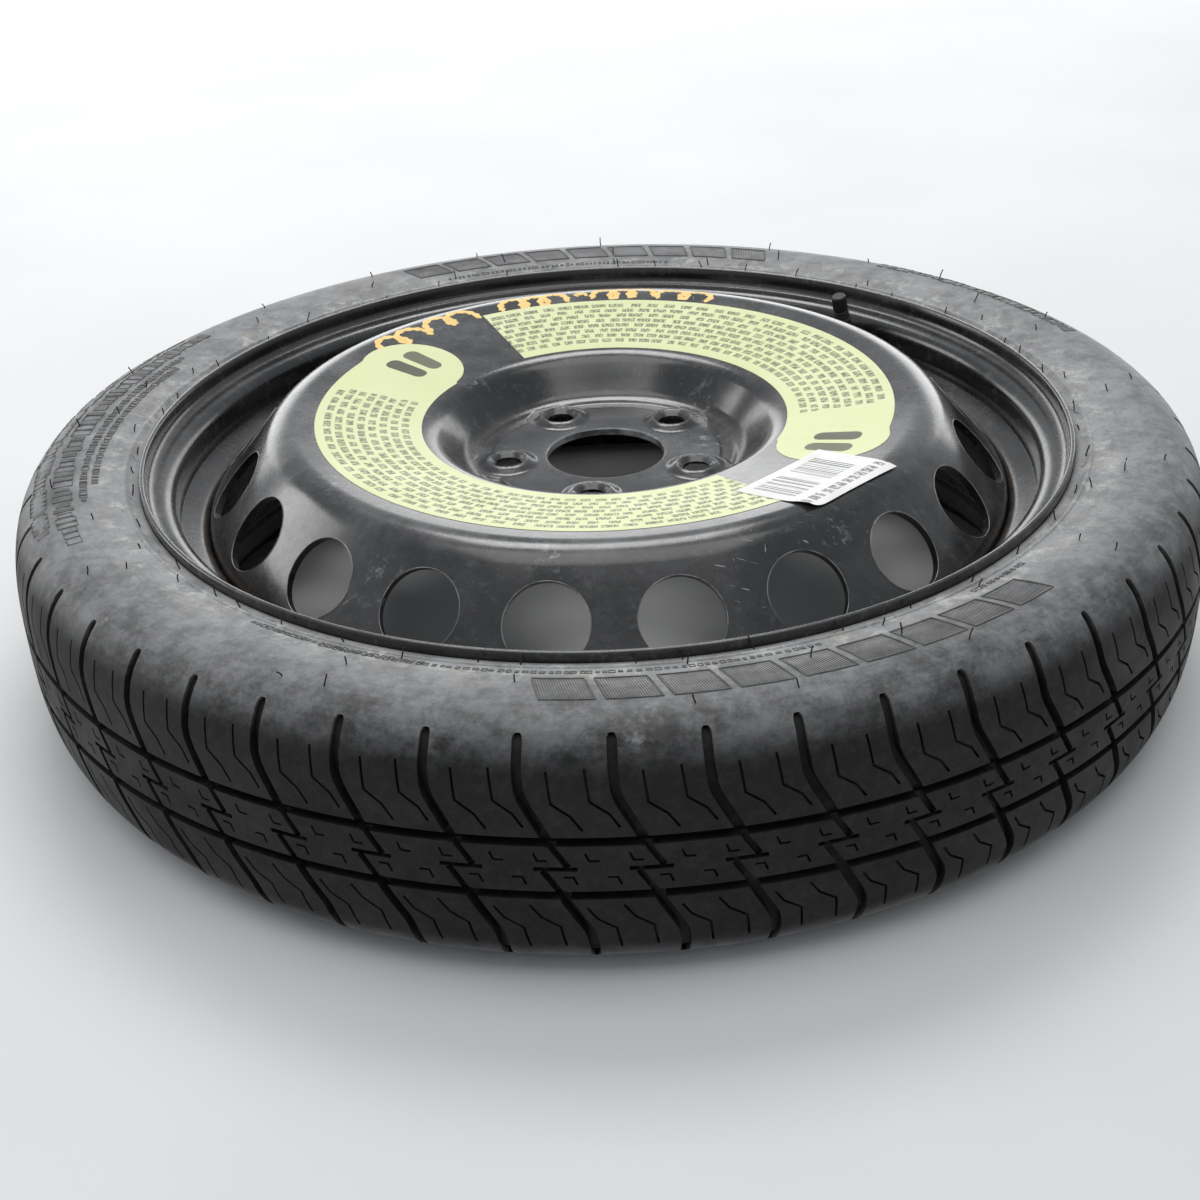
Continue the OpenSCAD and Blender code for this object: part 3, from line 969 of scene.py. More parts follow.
@dataclass
class Rim(Part):
    """The rolled rim with its gutter, bead seats and drop well."""

    shape: RimShape
    gutter_in: float = 5.0
    gutter_z: float = 50.0
    weld_z: float = 29.0
    worn_edge: float = 0.4
    scuffing: float = 0.12

    def marks(self, points: np.ndarray) -> dict[str, np.ndarray]:
        """Finds the dirt in the gutter and at the disc's flange, the worn lips and the scuffs.

        Args:
            points: Points in millimetres.

        Returns:
            Shares of dirt, wear and scuffs at each point.
        """
        radius, height = radius_and_height(points)
        gutter = hill(radius, self.shape.lip_r - self.gutter_in, 1.7) * (height > self.gutter_z)
        flange = hill(height, self.weld_z, 2.0) * (radius < self.shape.well_r + 2)
        edge = np.abs(height) > self.shape.lip_z - self.worn_edge
        lip = edge & (radius > self.shape.lip_r - self.shape.sheet - 0.3)
        return {"dirt": 0.15 * gutter + 0.2 * flange, "wear": np.where(lip, 0.08, 0.0),
                "scuff": np.full(len(points), self.scuffing)}

    def build(self) -> None:
        """Makes the rim."""
        rim = make_mesh("rim_hoop", revolve(self.shape.section(), self.shape.segments), sharp=50)
        paint_points(rim, self.marks)
        finish_piece(rim, self.finishes.rim, replaced=["rim"])


@dataclass
class Disc(Part):
    """The pressed disc with its hub pad, bosses, bowl, crown and vented skirt."""

    sheet: float = 4.0
    hub_face: float = 40.5
    bore_r: float = 33.3
    bore_round: float = 0.5
    bolt_circle_r: float = 56.0
    bolt_r: float = 7.5
    bolt_count: int = 5
    first_bolt: float = 45.2
    seat_r: float = 13.0
    seat_rise: float = 1.2
    boss_height: float = 2.8
    boss_slope: Point = (10.6, 17.5)
    hollow_slope: Point = (9.5, 13.0)
    pad_r: float = 64.5
    lobe_r: float = 19.0
    pad_step: float = 1.3
    bowl_foot_r: float = 78.0
    bowl_top: Point = (96.0, 66.0)
    shoulder: Point = (181.0, 78.9)
    flange_bend_z: float = 30.0
    flange_r: float = 225.2
    bends: tuple[float, ...] = (12.0, 16.0, 20.0, 12.0)
    vent_count: int = 20
    vent_r: float = 21.5
    vent_at: float = 207.3
    burr_r: float = 0.28
    segments: int = 400
    weld_count: int = 8
    weld_sweep: float = 16.0
    weld_leg: float = 3.4
    weld_ripple: float = 0.25
    scuffs: tuple[Corner, ...] = (
        (171, 214, 9), (166, 128, 7), (100, 142, 8), (186, 262, 9), (74, 45, 12),
        (72, 118, 10), (200, 236, 10), (188, 305, 9), (58, 8, 12), (192, 196, 8))

    @property
    def hub_top(self) -> float:
        """Height of the hub pad's outer face."""
        return self.hub_face + self.sheet

    @property
    def skirt_tilt(self) -> float:
        """Slope of the skirt below the level, in radians."""
        return math.atan2(self.shoulder[1] - self.flange_bend_z, self.flange_r - self.shoulder[0])

    def skirt_z(self, radius: float) -> float:
        """Height of the skirt's cone at a radius."""
        return self.shoulder[1] - (radius - self.shoulder[0]) * math.tan(self.skirt_tilt)

    def outer_line(self) -> list[Point]:
        """Draws the outer face from the bore to the weld flange.

        Returns:
            The line as (radius, height) points.
        """
        foot, top, shoulder, flange = self.bends
        return fillet([
            (self.bore_r, self.hub_top, 0), (self.bowl_foot_r, self.hub_top, foot), (*self.bowl_top, top),
            (*self.shoulder, shoulder), (self.flange_r, self.flange_bend_z, flange), (self.flange_r, 0, 0),
        ], 10)

    def crown_z(self, radius: float) -> float:
        """Height of the crown's cone at a radius."""
        rise = (self.shoulder[1] - self.bowl_top[1]) / (self.shoulder[0] - self.bowl_top[0])
        return self.bowl_top[1] + (radius - self.bowl_top[0]) * rise

    def face_z(self, radius: float) -> float:
        """Height of the outer face at a radius."""
        radii, heights = zip(*self.outer_line()[:-1])
        return float(np.interp(radius, radii, heights))

    def angles(self, count: int) -> list[float]:
        """Directions in degrees of a number of even places, from the first bolt."""
        return [self.first_bolt + k * 360 / count for k in range(count)]

    def bolt_distance(self, x: np.ndarray, y: np.ndarray) -> np.ndarray:
        """Distance of each point from the nearest bolt's axis."""
        bolts = [polar(self.bolt_circle_r, a) for a in self.angles(self.bolt_count)]
        return np.min([np.hypot(x - bolt.x, y - bolt.y) for bolt in bolts], axis=0)

    def press_outer(self, verts: np.ndarray) -> None:
        """Presses the lobed pad, the bosses and the ball seats into the hub's outer face.

        Args:
            verts: Vertices of the outer face, which are moved.
        """
        x, y, z = verts.T
        radius, bolt = np.hypot(x, y), self.bolt_distance(x, y)
        outside = np.minimum(radius - self.pad_r, bolt - self.lobe_r)
        foot = smooth(self.bowl_foot_r - 6.5, self.bowl_foot_r - 2.5, radius)
        z -= self.pad_step * smooth(0.0, 1.6, outside) * (1 - foot)
        hub = radius < self.bowl_foot_r - 2
        z[hub] += self.boss_height * (1 - smooth(*self.boss_slope, bolt[hub]))
        ball = self.hub_face + self.boss_height + self.seat_rise
        ball += math.sqrt(self.seat_r ** 2 - self.bolt_r ** 2)
        bowl = ball - np.sqrt(np.maximum(self.seat_r ** 2 - bolt ** 2, 0))
        seat = hub & (bolt < self.seat_r)
        z[seat] = np.minimum(z[seat], bowl[seat])

    def press_inner(self, verts: np.ndarray) -> None:
        """Presses the hollows behind the bosses into the hub's back.

        Args:
            verts: Vertices of the back, which are moved.
        """
        x, y, z = verts.T
        hollow = self.boss_height * (1 - smooth(*self.hollow_slope, self.bolt_distance(x, y)))
        z += np.where(np.hypot(x, y) < self.bowl_foot_r, hollow, 0)

    def skin(self) -> Shell:
        """Makes the whole sheet before its holes are cut.

        Returns:
            Vertices and faces.
        """
        outer = self.outer_line()
        hub = [p for p in outer if p[0] < self.bowl_foot_r + 4]
        face = resampled(hub, 0.85) + resampled(outer[len(hub) - 1:], 12)[1:]
        face[0] = (self.bore_r + self.bore_round, self.hub_top)
        back = resampled(shifted(outer, -self.sheet), 6)
        top, _ = revolve(face, self.segments)
        low, _ = revolve(back[::-1], self.segments)
        edge, _ = revolve([(self.bore_r, self.hub_top - self.bore_round)], self.segments)
        self.press_outer(top)
        self.press_inner(low)
        return np.vstack([top, low, edge]), ring_grid(self.segments, len(face) + len(back) + 1)

    def vent_frame(self, degrees: float) -> Matrix:
        """Finds the placement of a vent.

        Args:
            degrees: Its direction.

        Returns:
            The placement, with the vent's own Z along its axis.
        """
        outward = Matrix.Translation((self.vent_at, 0, self.skirt_z(self.vent_at)))
        tilted = outward @ Matrix.Rotation(self.skirt_tilt, 4, "Y")
        return Matrix.Rotation(math.radians(degrees), 4, "Z") @ tilted

    def cutters(self) -> bpy.types.Object:
        """Makes bars through every vent and bolt hole.

        Returns:
            The bars as one object.
        """
        parts: list[Shell] = []
        bars = [(self.vent_frame(a), self.vent_r, 13.0, 72) for a in self.angles(self.vent_count)]
        bars += [(Matrix.Translation(polar(self.bolt_circle_r, a, self.hub_top)), self.bolt_r, 12.0, 40)
                 for a in self.angles(self.bolt_count)]
        for place, radius, reach, sides in bars:
            verts, faces = revolve([(radius, -reach), (radius, reach)], sides, closed=False)
            parts.append((np.array([place @ Vector(v) for v in verts]), faces + end_faces(sides, 2)))
        return make_mesh("cutters", joined(parts))

    def burr_path(self, degrees: float, sides: int = 96) -> list[Vector]:
        """Follows the outer rim of a vent, where its bar meets the skirt's cone.

        Args:
            degrees: Direction of the vent.
            sides: Points round it.

        Returns:
            Points in millimetres.
        """
        place = self.vent_frame(degrees)
        axis = (place.to_3x3() @ Vector((0, 0, 1))).normalized()
        path: list[Vector] = []
        for k in range(sides):
            p = place @ polar(self.vent_r, 360 * k / sides)
            for _ in range(12):
                p = p - axis * (p.z - self.skirt_z(math.hypot(p.x, p.y))) * math.cos(self.skirt_tilt)
            path.append(p)
        return path

    def marks(self, points: np.ndarray) -> dict[str, np.ndarray]:
        """Finds the dirt at the flange and the bowl's foot, the worn bore and seats, and the scuffed patches.

        Args:
            points: Points in millimetres.

        Returns:
            Shares of dirt, wear and scuffs at each point.
        """
        radius, height = radius_and_height(points)
        bolt = self.bolt_distance(points[:, 0], points[:, 1])
        flange = smooth(self.flange_r - 4, self.flange_r - 1, radius) * (1 - smooth(31, 38, height))
        dirt = 0.22 * flange + 0.1 * hill(radius, self.bowl_foot_r - 3.5, 3.0)
        wear = np.maximum(hill(radius, self.bore_r, 0.7), 0.25 * hill(bolt, 10.0, 1.0))
        scuff = np.full(len(points), 0.1)
        for patch_r, degrees, reach in self.scuffs:
            middle = polar(patch_r, degrees)
            away = np.hypot(points[:, 0] - middle.x, points[:, 1] - middle.y)
            scuff = np.maximum(scuff, 0.95 * hill(away, 0.0, reach))
        return {"dirt": dirt, "wear": wear, "scuff": scuff}

    def build(self) -> None:
        """Makes the disc, the burrs of its vents with their painted highlight, and its weld beads."""
        disc = make_mesh("wheel_disc", self.skin(), sharp=40)
        cutters = self.cutters()
        cut = disc.modifiers.new("holes", "BOOLEAN")
        cut.object, cut.operation, cut.solver = cutters, "DIFFERENCE", "EXACT"
        bpy.context.view_layer.update()
        done = disc.evaluated_get(bpy.context.evaluated_depsgraph_get())
        solid = bpy.data.meshes.new_from_object(done)
        disc.modifiers.clear()
        disc.data = solid
        bpy.data.objects.remove(cutters)
        settle(disc, 32)
        paint_points(disc, self.marks)
        finish_piece(disc, self.finishes.disc, replaced=["disc"])
        # the vent burrs are drawn in a light grey, a painted highlight on the vent edges
        burrs = [tube(self.burr_path(a), self.burr_r, closed=True) for a in self.angles(self.vent_count)]
        finish_piece(make_mesh("vent_burr_highlights", joined(burrs)), self.finishes.vent_edge_highlight)
        beads = joined([self.bead(k * 360 / self.weld_count) for k in range(self.weld_count)])
        finish_piece(make_mesh("weld_ripples", beads), self.finishes.weld, replaced=["weld_beads"])

    def bead_reach(self, step: int, steps: int) -> float:
        """Finds how far a weld bead reaches, less at its ends and rippled along it.

        Args:
            step: The step along the bead.
            steps: Number of steps.

        Returns:
            The reach from the corner in millimetres.
        """
        share, swell = step / steps, 1.0
        if share * (1 - share) < 0.1:
            swell = abs(math.sin(math.pi * min(1.0, 6 * min(share, 1 - share) + 0.08)))
        return max(0.3, self.weld_leg * swell) - self.weld_ripple * (1 + math.cos(step * math.pi / 1.5))

    def bead(self, start: float, steps: int = 48, sides: int = 8) -> Shell:
        """Makes a rippled bead that joins the disc's flange to the rim.

        Args:
            start: Direction in which it starts.
            steps: Steps along it.
            sides: Points over its face.

        Returns:
            Vertices and faces.
        """
        verts: list[Vector] = []
        for i in range(steps + 1):
            at, reach = start + self.weld_sweep * i / steps, self.bead_reach(i, steps)
            for t in (math.pi / 2 * j / (sides - 1) for j in range(sides)):
                verts.append(polar(self.flange_r - reach * math.cos(t), at, -reach * math.sin(t)))
            verts.append(polar(self.flange_r, at))
        grid = (sides + 1, steps + 1)
        return np.array(verts), ring_grid(*grid, closed=False) + end_faces(*grid)


class Depth(Enum):
    """How deep each kind of cut in the tread goes, in millimetres."""

    LAND = 0.0
    SIPE = 2.4
    STEP = 4.2
    GROOVE = 6.3


@dataclass(frozen=True)
class Cut:
    """A cut that each pitch of the tread has: a line of (distance round the tyre, height) with a width."""

    kind: Depth
    width: float
    line: tuple[Point, ...]
    round_start: bool = False

    def turned(self, middle: float) -> "Cut":
        """The like cut on the other half of the tread, turned half round about a distance."""
        return replace(self, line=tuple((2 * middle - s, -z) for s, z in self.line))

    def outline(self) -> list[Point]:
        """Draws the cut's edge.

        Returns:
            A closed band of even width, with a rounded start if the cut has one.
        """
        half = self.width / 2
        left, right = shifted(self.line, half), shifted(self.line, -half)
        if not self.round_start:
            return [*left[::-1], *right]
        start = Vector(self.line[0])
        back = (start - Vector(self.line[1])).normalized()
        side = Vector((-back.y, back.x))
        if (Vector(right[0]) - start).dot(side) < 0:
            side = -side
        turns = [math.pi * k / 8 for k in reversed(range(1, 8))]
        tip = [tuple(start + side * math.cos(t) * half + back * math.sin(t) * half) for t in turns]
        return [*left[::-1], *tip, *right]


@dataclass
class Tyre(Part):
    """The tyre: a tread of repeated pitches, two sidewalls, the beads and the cavity."""

    rim: RimShape
    widest_r: float = 291.0
    power: float = 3.0
    pitches: int = 50
    first_pitch: float = -90.5
    columns: int = 6
    rows: int = 34
    tread_z: float = 60.0
    ring_z: float = 14.3
    ring_width: float = 4.5
    middle: float = 15.0
    cuts: tuple[Cut, ...] = (
        Cut(Depth.GROOVE, 4.7, ((0, 58), (0, 47.5), (0.8, 39), (2.2, 34.5), (4.2, 30.5), (8.3, 23),
                                (10.9, 18), (13.2, 12.4)), round_start=True),
        Cut(Depth.STEP, 3.2, ((13.0, 13.6), (14.6, 10.5), (20.6, 1.0))),
        Cut(Depth.SIPE, 1.2, ((12.7, 47), (14.5, 33), (22.8, 27), (27.6, 20))),
        Cut(Depth.SIPE, 1.2, ((29.2, 48), (31.1, 34), (39.5, 28), (43.7, 21.5))),
        Cut(Depth.SIPE, 1.1, ((5.7, 8.5), (7.3, 4.4), (11.6, 4.4))),
        Cut(Depth.SIPE, 1.1, ((28.1, 8.5), (29.7, 4.4), (34.2, 4.4))),
    )
    centre_cut: Cut = Cut(Depth.STEP, 2.2, ((5.4, 0), (24.6, 0)))
    run_out: float = 3.4
    run_out_z: Point = (30.0, 58.0)
    fit_rib: tuple[Point, ...] = (
        (9.4, 0.09), (8.9, 0.675), (8.4, 0.9), (7.6, 0.9), (7.1, 0.675), (6.6, 0.09), (6.0, 0), (5.4, -0.45),
        (5.0, -0.45), (4.6, -0.45), (4.0, 0), (1.5, 0), (0.4, 0))

    @property
    def pitch(self) -> float:
        """Length of one pitch round the tyre."""
        return 2 * math.pi * TYRE_R / self.pitches

    def outline(self, turn: float) -> Point:
        """Finds the section's outside.

        Args:
            turn: Angle from the level, in radians.

        Returns:
            Radius and height.
        """
        c, s = max(math.cos(turn), 0.0), math.sin(turn)
        return (self.widest_r + (TYRE_R - self.widest_r) * c ** (2 / self.power),
                math.copysign(HALF_WIDTH * abs(s) ** (2 / self.power), s))

    def surface(self, z: float, depth: float) -> Point:
        """Finds a place on the tread or in its cuts.

        Args:
            z: Height on the tread's surface.
            depth: How far the place is sunk along the surface's normal.

        Returns:
            Radius and height.
        """
        share = min(abs(z) / HALF_WIDTH, 0.999)
        rise = (1 - share ** self.power) ** (1 / self.power)
        radius = self.widest_r + (TYRE_R - self.widest_r) * rise
        slope = -(TYRE_R - self.widest_r) / HALF_WIDTH * math.copysign((share / rise) ** (self.power - 1), z)
        scale = depth / math.hypot(1, slope)
        return radius - scale, z + slope * scale

    def side_z(self, radius: float) -> float:
        """Height of the sidewall between the widest place and the rim."""
        drop = HALF_WIDTH - (self.rim.lip_z - 5.4)
        return HALF_WIDTH - drop * ((self.widest_r - radius) / (self.widest_r - self.rim.lip_r)) ** 2

    def bands(self) -> list[tuple[Depth, list[Point]]]:
        """Lists the cuts that cross one flat pitch.

        Returns:
            Each cut's kind and its outline, run counterclockwise.
        """
        every = [*self.cuts, *(cut.turned(self.middle) for cut in self.cuts), self.centre_cut]
        bands = [(cut.kind, [(s + shift * self.pitch, z) for s, z in cut.outline()])
                 for cut in every for shift in (-2, -1, 0, 1)]
        half = self.ring_width / 2
        for z in (-self.ring_z, self.ring_z):
            bands.append((Depth.GROOVE, [(-9, z - half), (self.pitch + 9, z - half),
                                         (self.pitch + 9, z + half), (-9, z + half)]))
        kept: list[tuple[Depth, list[Point]]] = []
        for kind, band in bands:
            if max(s for s, _ in band) < -1 or min(s for s, _ in band) > self.pitch + 1:
                continue
            area = sum(a[0] * b[1] - b[0] * a[1] for a, b in zip(band, band[1:] + band[:1]))
            kept.append((kind, band if area > 0 else band[::-1]))
        return kept

    def pitch_cell(self) -> tuple[list[Point], list[tuple[tuple[int, ...], Depth]]]:
        """Cuts one flat pitch of the tread into faces.

        Returns:
            The flat points, and each face with the kind of place it is.
        """
        row, land = self.columns + 1, self.rows * self.columns
        points = [Vector((self.pitch * k / self.columns, -self.tread_z + 2 * self.tread_z * i / self.rows))
                  for i in range(self.rows + 1) for k in range(row)]
        polygons = [[a, a + 1, a + 1 + row, a + row]
                    for a in (i * row + j for i in range(self.rows) for j in range(self.columns))]
        kinds = [Depth.LAND] * land
        for kind, band in self.bands():
            polygons.append(list(range(len(points), len(points) + len(band))))
            points += [Vector(p) for p in band]
            kinds.append(kind)
        flat, _, faces, _, _, sources = delaunay_2d_cdt(points, [], polygons, 4, 1e-5, True)
        kept = [(tuple(face), max((kinds[k] for k in origin), key=lambda kind: kind.value))
                for face, origin in zip(faces, sources) if any(k < land for k in origin)]
        return [(p.x, p.y) for p in flat], kept

    def cut_depth(self, kind: Depth, z: float) -> float:
        """Depth of a cut at a height; the cross grooves run out on the shoulder."""
        fade = self.run_out * float(smooth(*self.run_out_z, np.array(abs(z))))
        return kind.value - (fade if kind is Depth.GROOVE else 0.0)

    def tread(self) -> Shell:
        """Makes the whole tread: the flat pitch with walls at its cuts, wrapped round the tyre.

        Returns:
            Vertices and faces.
        """
        flat, cells = self.pitch_cell()
        numbers: dict[tuple[int, Depth], int] = {}
        places: list[Corner] = []

        def number(point: int, kind: Depth) -> int:
            """Finds the vertex of a flat point at a kind's depth, and makes it if it is new.

            Args:
                point: Number of the flat point.
                kind: The kind of cut.

            Returns:
                Number of the vertex.
            """
            if (point, kind) not in numbers:
                numbers[(point, kind)] = len(places)
                s, z = flat[point]
                places.append((s, *self.surface(z, self.cut_depth(kind, z))))
            return numbers[(point, kind)]

        faces: Faces = []
        sides: dict[tuple[int, int], Depth] = {}
        for face, kind in cells:
            faces.append(tuple(number(p, kind) for p in face))
            sides.update(((a, b), kind) for a, b in zip(face, face[1:] + face[:1]))
        for (a, b), kind in sides.items():
            other = sides.get((b, a))
            if other is not None and other.value > kind.value:
                faces.append((number(a, kind), number(b, kind), number(b, other), number(a, other)))
        cell = np.array(places)
        parts: list[Shell] = []
        for k in range(self.pitches):
            turn = np.radians(self.first_pitch) + (cell[:, 0] / self.pitch + k) * 2 * math.pi / self.pitches
            verts = np.stack([cell[:, 1] * np.cos(turn), cell[:, 1] * np.sin(turn), cell[:, 2]], axis=1)
            parts.append((verts, faces))
        return joined(parts)

    def carcass_line(self) -> list[Point]:
        """Draws the section from the tread's upper edge round the beads and the cavity to its lower edge.

        Returns:
            The line as (radius, height) points.
        """
        rim = self.rim
        turn = math.asin((self.tread_z / HALF_WIDTH) ** (self.power / 2))
        upper = [self.surface(self.tread_z, 0)]
        upper += [self.outline(turn + (math.pi / 2 - turn) * k / 9) for k in range(1, 10)]
        side = rim.lip_r + self.fit_rib[0][0] + 0.6 - self.widest_r
        upper += [(r, self.side_z(r)) for r in (self.widest_r + side * k / 8 for k in range(1, 9))]
        upper += [(rim.lip_r + out, self.side_z(rim.lip_r + out) + lift) for out, lift in self.fit_rib]
        upper.append((rim.lip_r + 0.05, self.side_z(rim.lip_r) - 0.5))
        low, high = rim.flange_z - 12.6, rim.lip_z - 6.2
        upper += [(r + 0.03, z) for r, z in rim.line(5) if low < z < high]
        upper.append((rim.seat_r + 1.2, low - 1))
        hollow = [(rim.seat_r + 1.2, low - 1, 0), (rim.seat_r + 9, low, 4),
                  (rim.lip_r + 3, rim.lip_z - 13.4, 10), (self.widest_r - 4, HALF_WIDTH - 7, 14),
                  (TYRE_R - 20.5, 50, 16), (TYRE_R - 11.5, 34, 16)]
        return upper + fillet(hollow + mirrored(hollow), 4)[1:-1] + mirrored(upper)

    def marks(self, points: np.ndarray) -> dict[str, np.ndarray]:
        """Finds the places that are sunk in the tread's cuts, which the rubber darkens as painted shade.

        Args:
            points: Points in millimetres.

        Returns:
            1 in the cuts and 0 on the lands and the sidewalls.
        """
        radius, height = radius_and_height(points)
        share = np.minimum(np.abs(height) / HALF_WIDTH, 0.999)
        land = self.widest_r + (TYRE_R - self.widest_r) * (1 - share ** self.power) ** (1 / self.power)
        tread = np.abs(height) < self.tread_z - 0.5
        return {"sunk": np.where(tread, smooth(0.3, 1.6, land - radius), 0.0)}

    def skin_point(self, radius: float, degrees: float, lift: float) -> Vector:
        """Finds a point on the outer sidewall.

        Args:
            radius: Its radius.
            degrees: Its direction.
            lift: How far it is raised.

        Returns:
            The point in millimetres.
        """
        if radius <= self.widest_r:
            return polar(radius, degrees, self.side_z(radius) + lift)
        share = ((radius - self.widest_r) / (TYRE_R - self.widest_r)) ** self.power
        return polar(radius + 0.2 * lift, degrees, HALF_WIDTH * (1 - share) ** (1 / self.power) + lift * 0.9)

    def build(self) -> None:
        """Makes the tyre."""
        verts, faces = revolve(self.carcass_line(), self.pitches * self.columns, closed=False)
        spin = np.array(Matrix.Rotation(math.radians(self.first_pitch), 3, "Z"))
        tyre = make_mesh("tyre_rubber", joined([self.tread(), (verts @ spin.T, faces)]), sharp=38)
        paint_points(tyre, self.marks)
        finish_piece(tyre, self.finishes.tyre, replaced=["tyre"])


@dataclass
class SideMarks(Part):
    """The plain raised marks and the moulding hairs on the tyre's outer sidewall."""

    tyre: Tyre
    bar_rows: tuple[tuple[float, ...], ...] = (
        (150, 202, 311, 9.0, 7.0), (148, 205, 298, 10.5, 7.5), (155, 196, 287, 4.0, 3.6),
        (158, 192, 281, 3.6, 3.4), (-128, -108, 271, 3.0, 2.8), (-119, -70, 272.5, 2.8, 3.2),
        (20, 52, 303, 8.0, 6.5), (-52, -44, 272, 2.6, 2.6), (80, 112, 271, 2.6, 2.6))
    panel_starts: Point = (-97.5, 66.0)
    panel_count: int = 9
    panel_step: float = 5.6
    panel_sweep: float = 4.7
    panel_slant: float = 1.1
    panel_radii: Point = (279.5, 297.5)
    panel_ribs: int = 20
    hair_rings: tuple[tuple[float, int], ...] = ((262.5, 44), (270, 16), (284, 18), (303, 20))
    hair_tall: Point = (3.2, 7.4)
    arc_count: int = 22
    arc_r: float = 260.6

    def bar(self, degrees: float, radius: float, wide: float, tall: float, outline: bool) -> Shell:
        """Makes a raised bar whose length runs across the sidewall.

        Args:
            degrees: Direction of its middle.
            radius: Radius of its middle.
            wide: Its width round the tyre.
            tall: Its length.
            outline: Whether only its outline is raised.

        Returns:
            Vertices and faces.
        """
        half = math.degrees(wide / 2 / radius)
        low, high = radius - tall / 2, radius + tall / 2
        corners = [(low, -half), (low, half), (high, half), (high, -half)]
        if outline:
            path = [self.tyre.skin_point(r, degrees + a, 0.02) for r, a in corners]
            return tube(path, 0.3 + 0.014 * tall, 5, closed=True)
        top = [self.tyre.skin_point(r, degrees + a * 0.86, 0.24 + 0.03 * tall) for r, a in corners]
        foot = [self.tyre.skin_point(r, degrees + a, -0.3) for r, a in corners]
        faces: Faces = [(3, 2, 1, 0)] + [(k, (k + 1) % 4, 4 + (k + 1) % 4, 4 + k) for k in range(4)]
        return np.array(top + foot), faces

    def panel(self, start: float) -> list[Shell]:
        """Makes a slanted panel with a raised border and fine ribs across it.

        Args:
            start: Direction in which it starts.

        Returns:
            The border and the ribs.
        """
        (low, high), slant, end = self.panel_radii, self.panel_slant, start + self.panel_sweep
        corners = [(low, start), (low, end), (high, end + slant), (high, start + slant)]
        path: list[Vector] = []
        for (r0, a0), (r1, a1) in zip(corners, corners[1:] + corners[:1]):
            path += [self.tyre.skin_point(r0 + (r1 - r0) * k / 8, a0 + (a1 - a0) * k / 8, 0.05)
                     for k in range(8)]
        parts = [tube(path, 0.55, closed=True)]
        for k in range(1, self.panel_ribs):
            foot = start + self.panel_sweep * k / self.panel_ribs
            rib = [self.tyre.skin_point(r, foot + slant * (r - low) / (high - low), 0.0)
                   for r in (low + 1.2, (low + high) / 2, high - 1.2)]
            parts.append(tube(rib, 0.26, 4))
        return parts

    def marks(self, rng: random.Random) -> list[Shell]:
        """Makes the rows of bars and the panels.

        Args:
            rng: Source of their uneven sizes.

        Returns:
            The bars and panels.
        """
        parts: list[Shell] = []
        for start, end, radius, tall, mean in self.bar_rows:
            at = float(start)
            while at < end:
                wide = mean * rng.uniform(0.5, 0.95)
                step = math.degrees((wide + rng.uniform(0.9, 1.9)) / radius)
                length = tall * rng.choice((0.72, 1.0, 1.0))
                parts.append(self.bar(at, radius, wide, length, rng.random() < 0.5))
                at += step
        for first in self.panel_starts:
            for k in range(self.panel_count):
                parts += self.panel(first + k * self.panel_step)
        return parts

    def hair(self, radius: float, degrees: float, rng: random.Random) -> Shell:
        """Makes a short hair that a vent of the mould left.

        Args:
            radius: Mean radius of its ring of hairs.
            degrees: Its direction.
            rng: Source of its uneven place, lean, length and bend.

        Returns:
            Vertices and faces.
        """
        foot = self.tyre.skin_point(radius + rng.uniform(-1.2, 1.2), degrees, -0.2)
        lean = Vector((rng.uniform(-0.4, 0.4), rng.uniform(-0.4, 0.4), 1)).normalized()
        tall = rng.uniform(*self.hair_tall)
        bend = Vector((rng.uniform(-0.7, 0.7), rng.uniform(-0.7, 0.7), 0))
        return tube([foot, foot + lean * tall * 0.5, foot + lean * tall + bend], 0.38, 5)

    def arc(self, middle: float, side: int) -> Shell:
        """Makes a small raised arc beside the bead.

        Args:
            middle: Direction in which it starts.
            side: 1 or -1, the way it runs.

        Returns:
            Vertices and faces.
        """
        line = [self.tyre.skin_point(self.arc_r + 0.14 * n * n, middle + side * n * 0.55, 0.05)
                for n in range(8)]
        return tube(line, 0.22, 5)

    def build(self) -> None:
        """Makes the marks, the hairs and the arcs."""
        marks = joined(self.marks(random.Random(7)))
        finish_piece(make_mesh("mould_marks", marks), self.finishes.raised)
        rng = random.Random(3)
        hairs = [self.hair(radius, (k + rng.uniform(-0.42, 0.42)) * 360 / count, rng)
                 for radius, count in self.hair_rings for k in range(count)]
        finish_piece(make_mesh("spew_hairs", joined(hairs)), self.finishes.hair)
        arcs = [self.arc(k * 360 / self.arc_count + rng.uniform(-6, 6), rng.choice((-1, 1)))
                for k in range(self.arc_count)]
        finish_piece(make_mesh("mould_arcs", joined(arcs)), self.finishes.tyre)


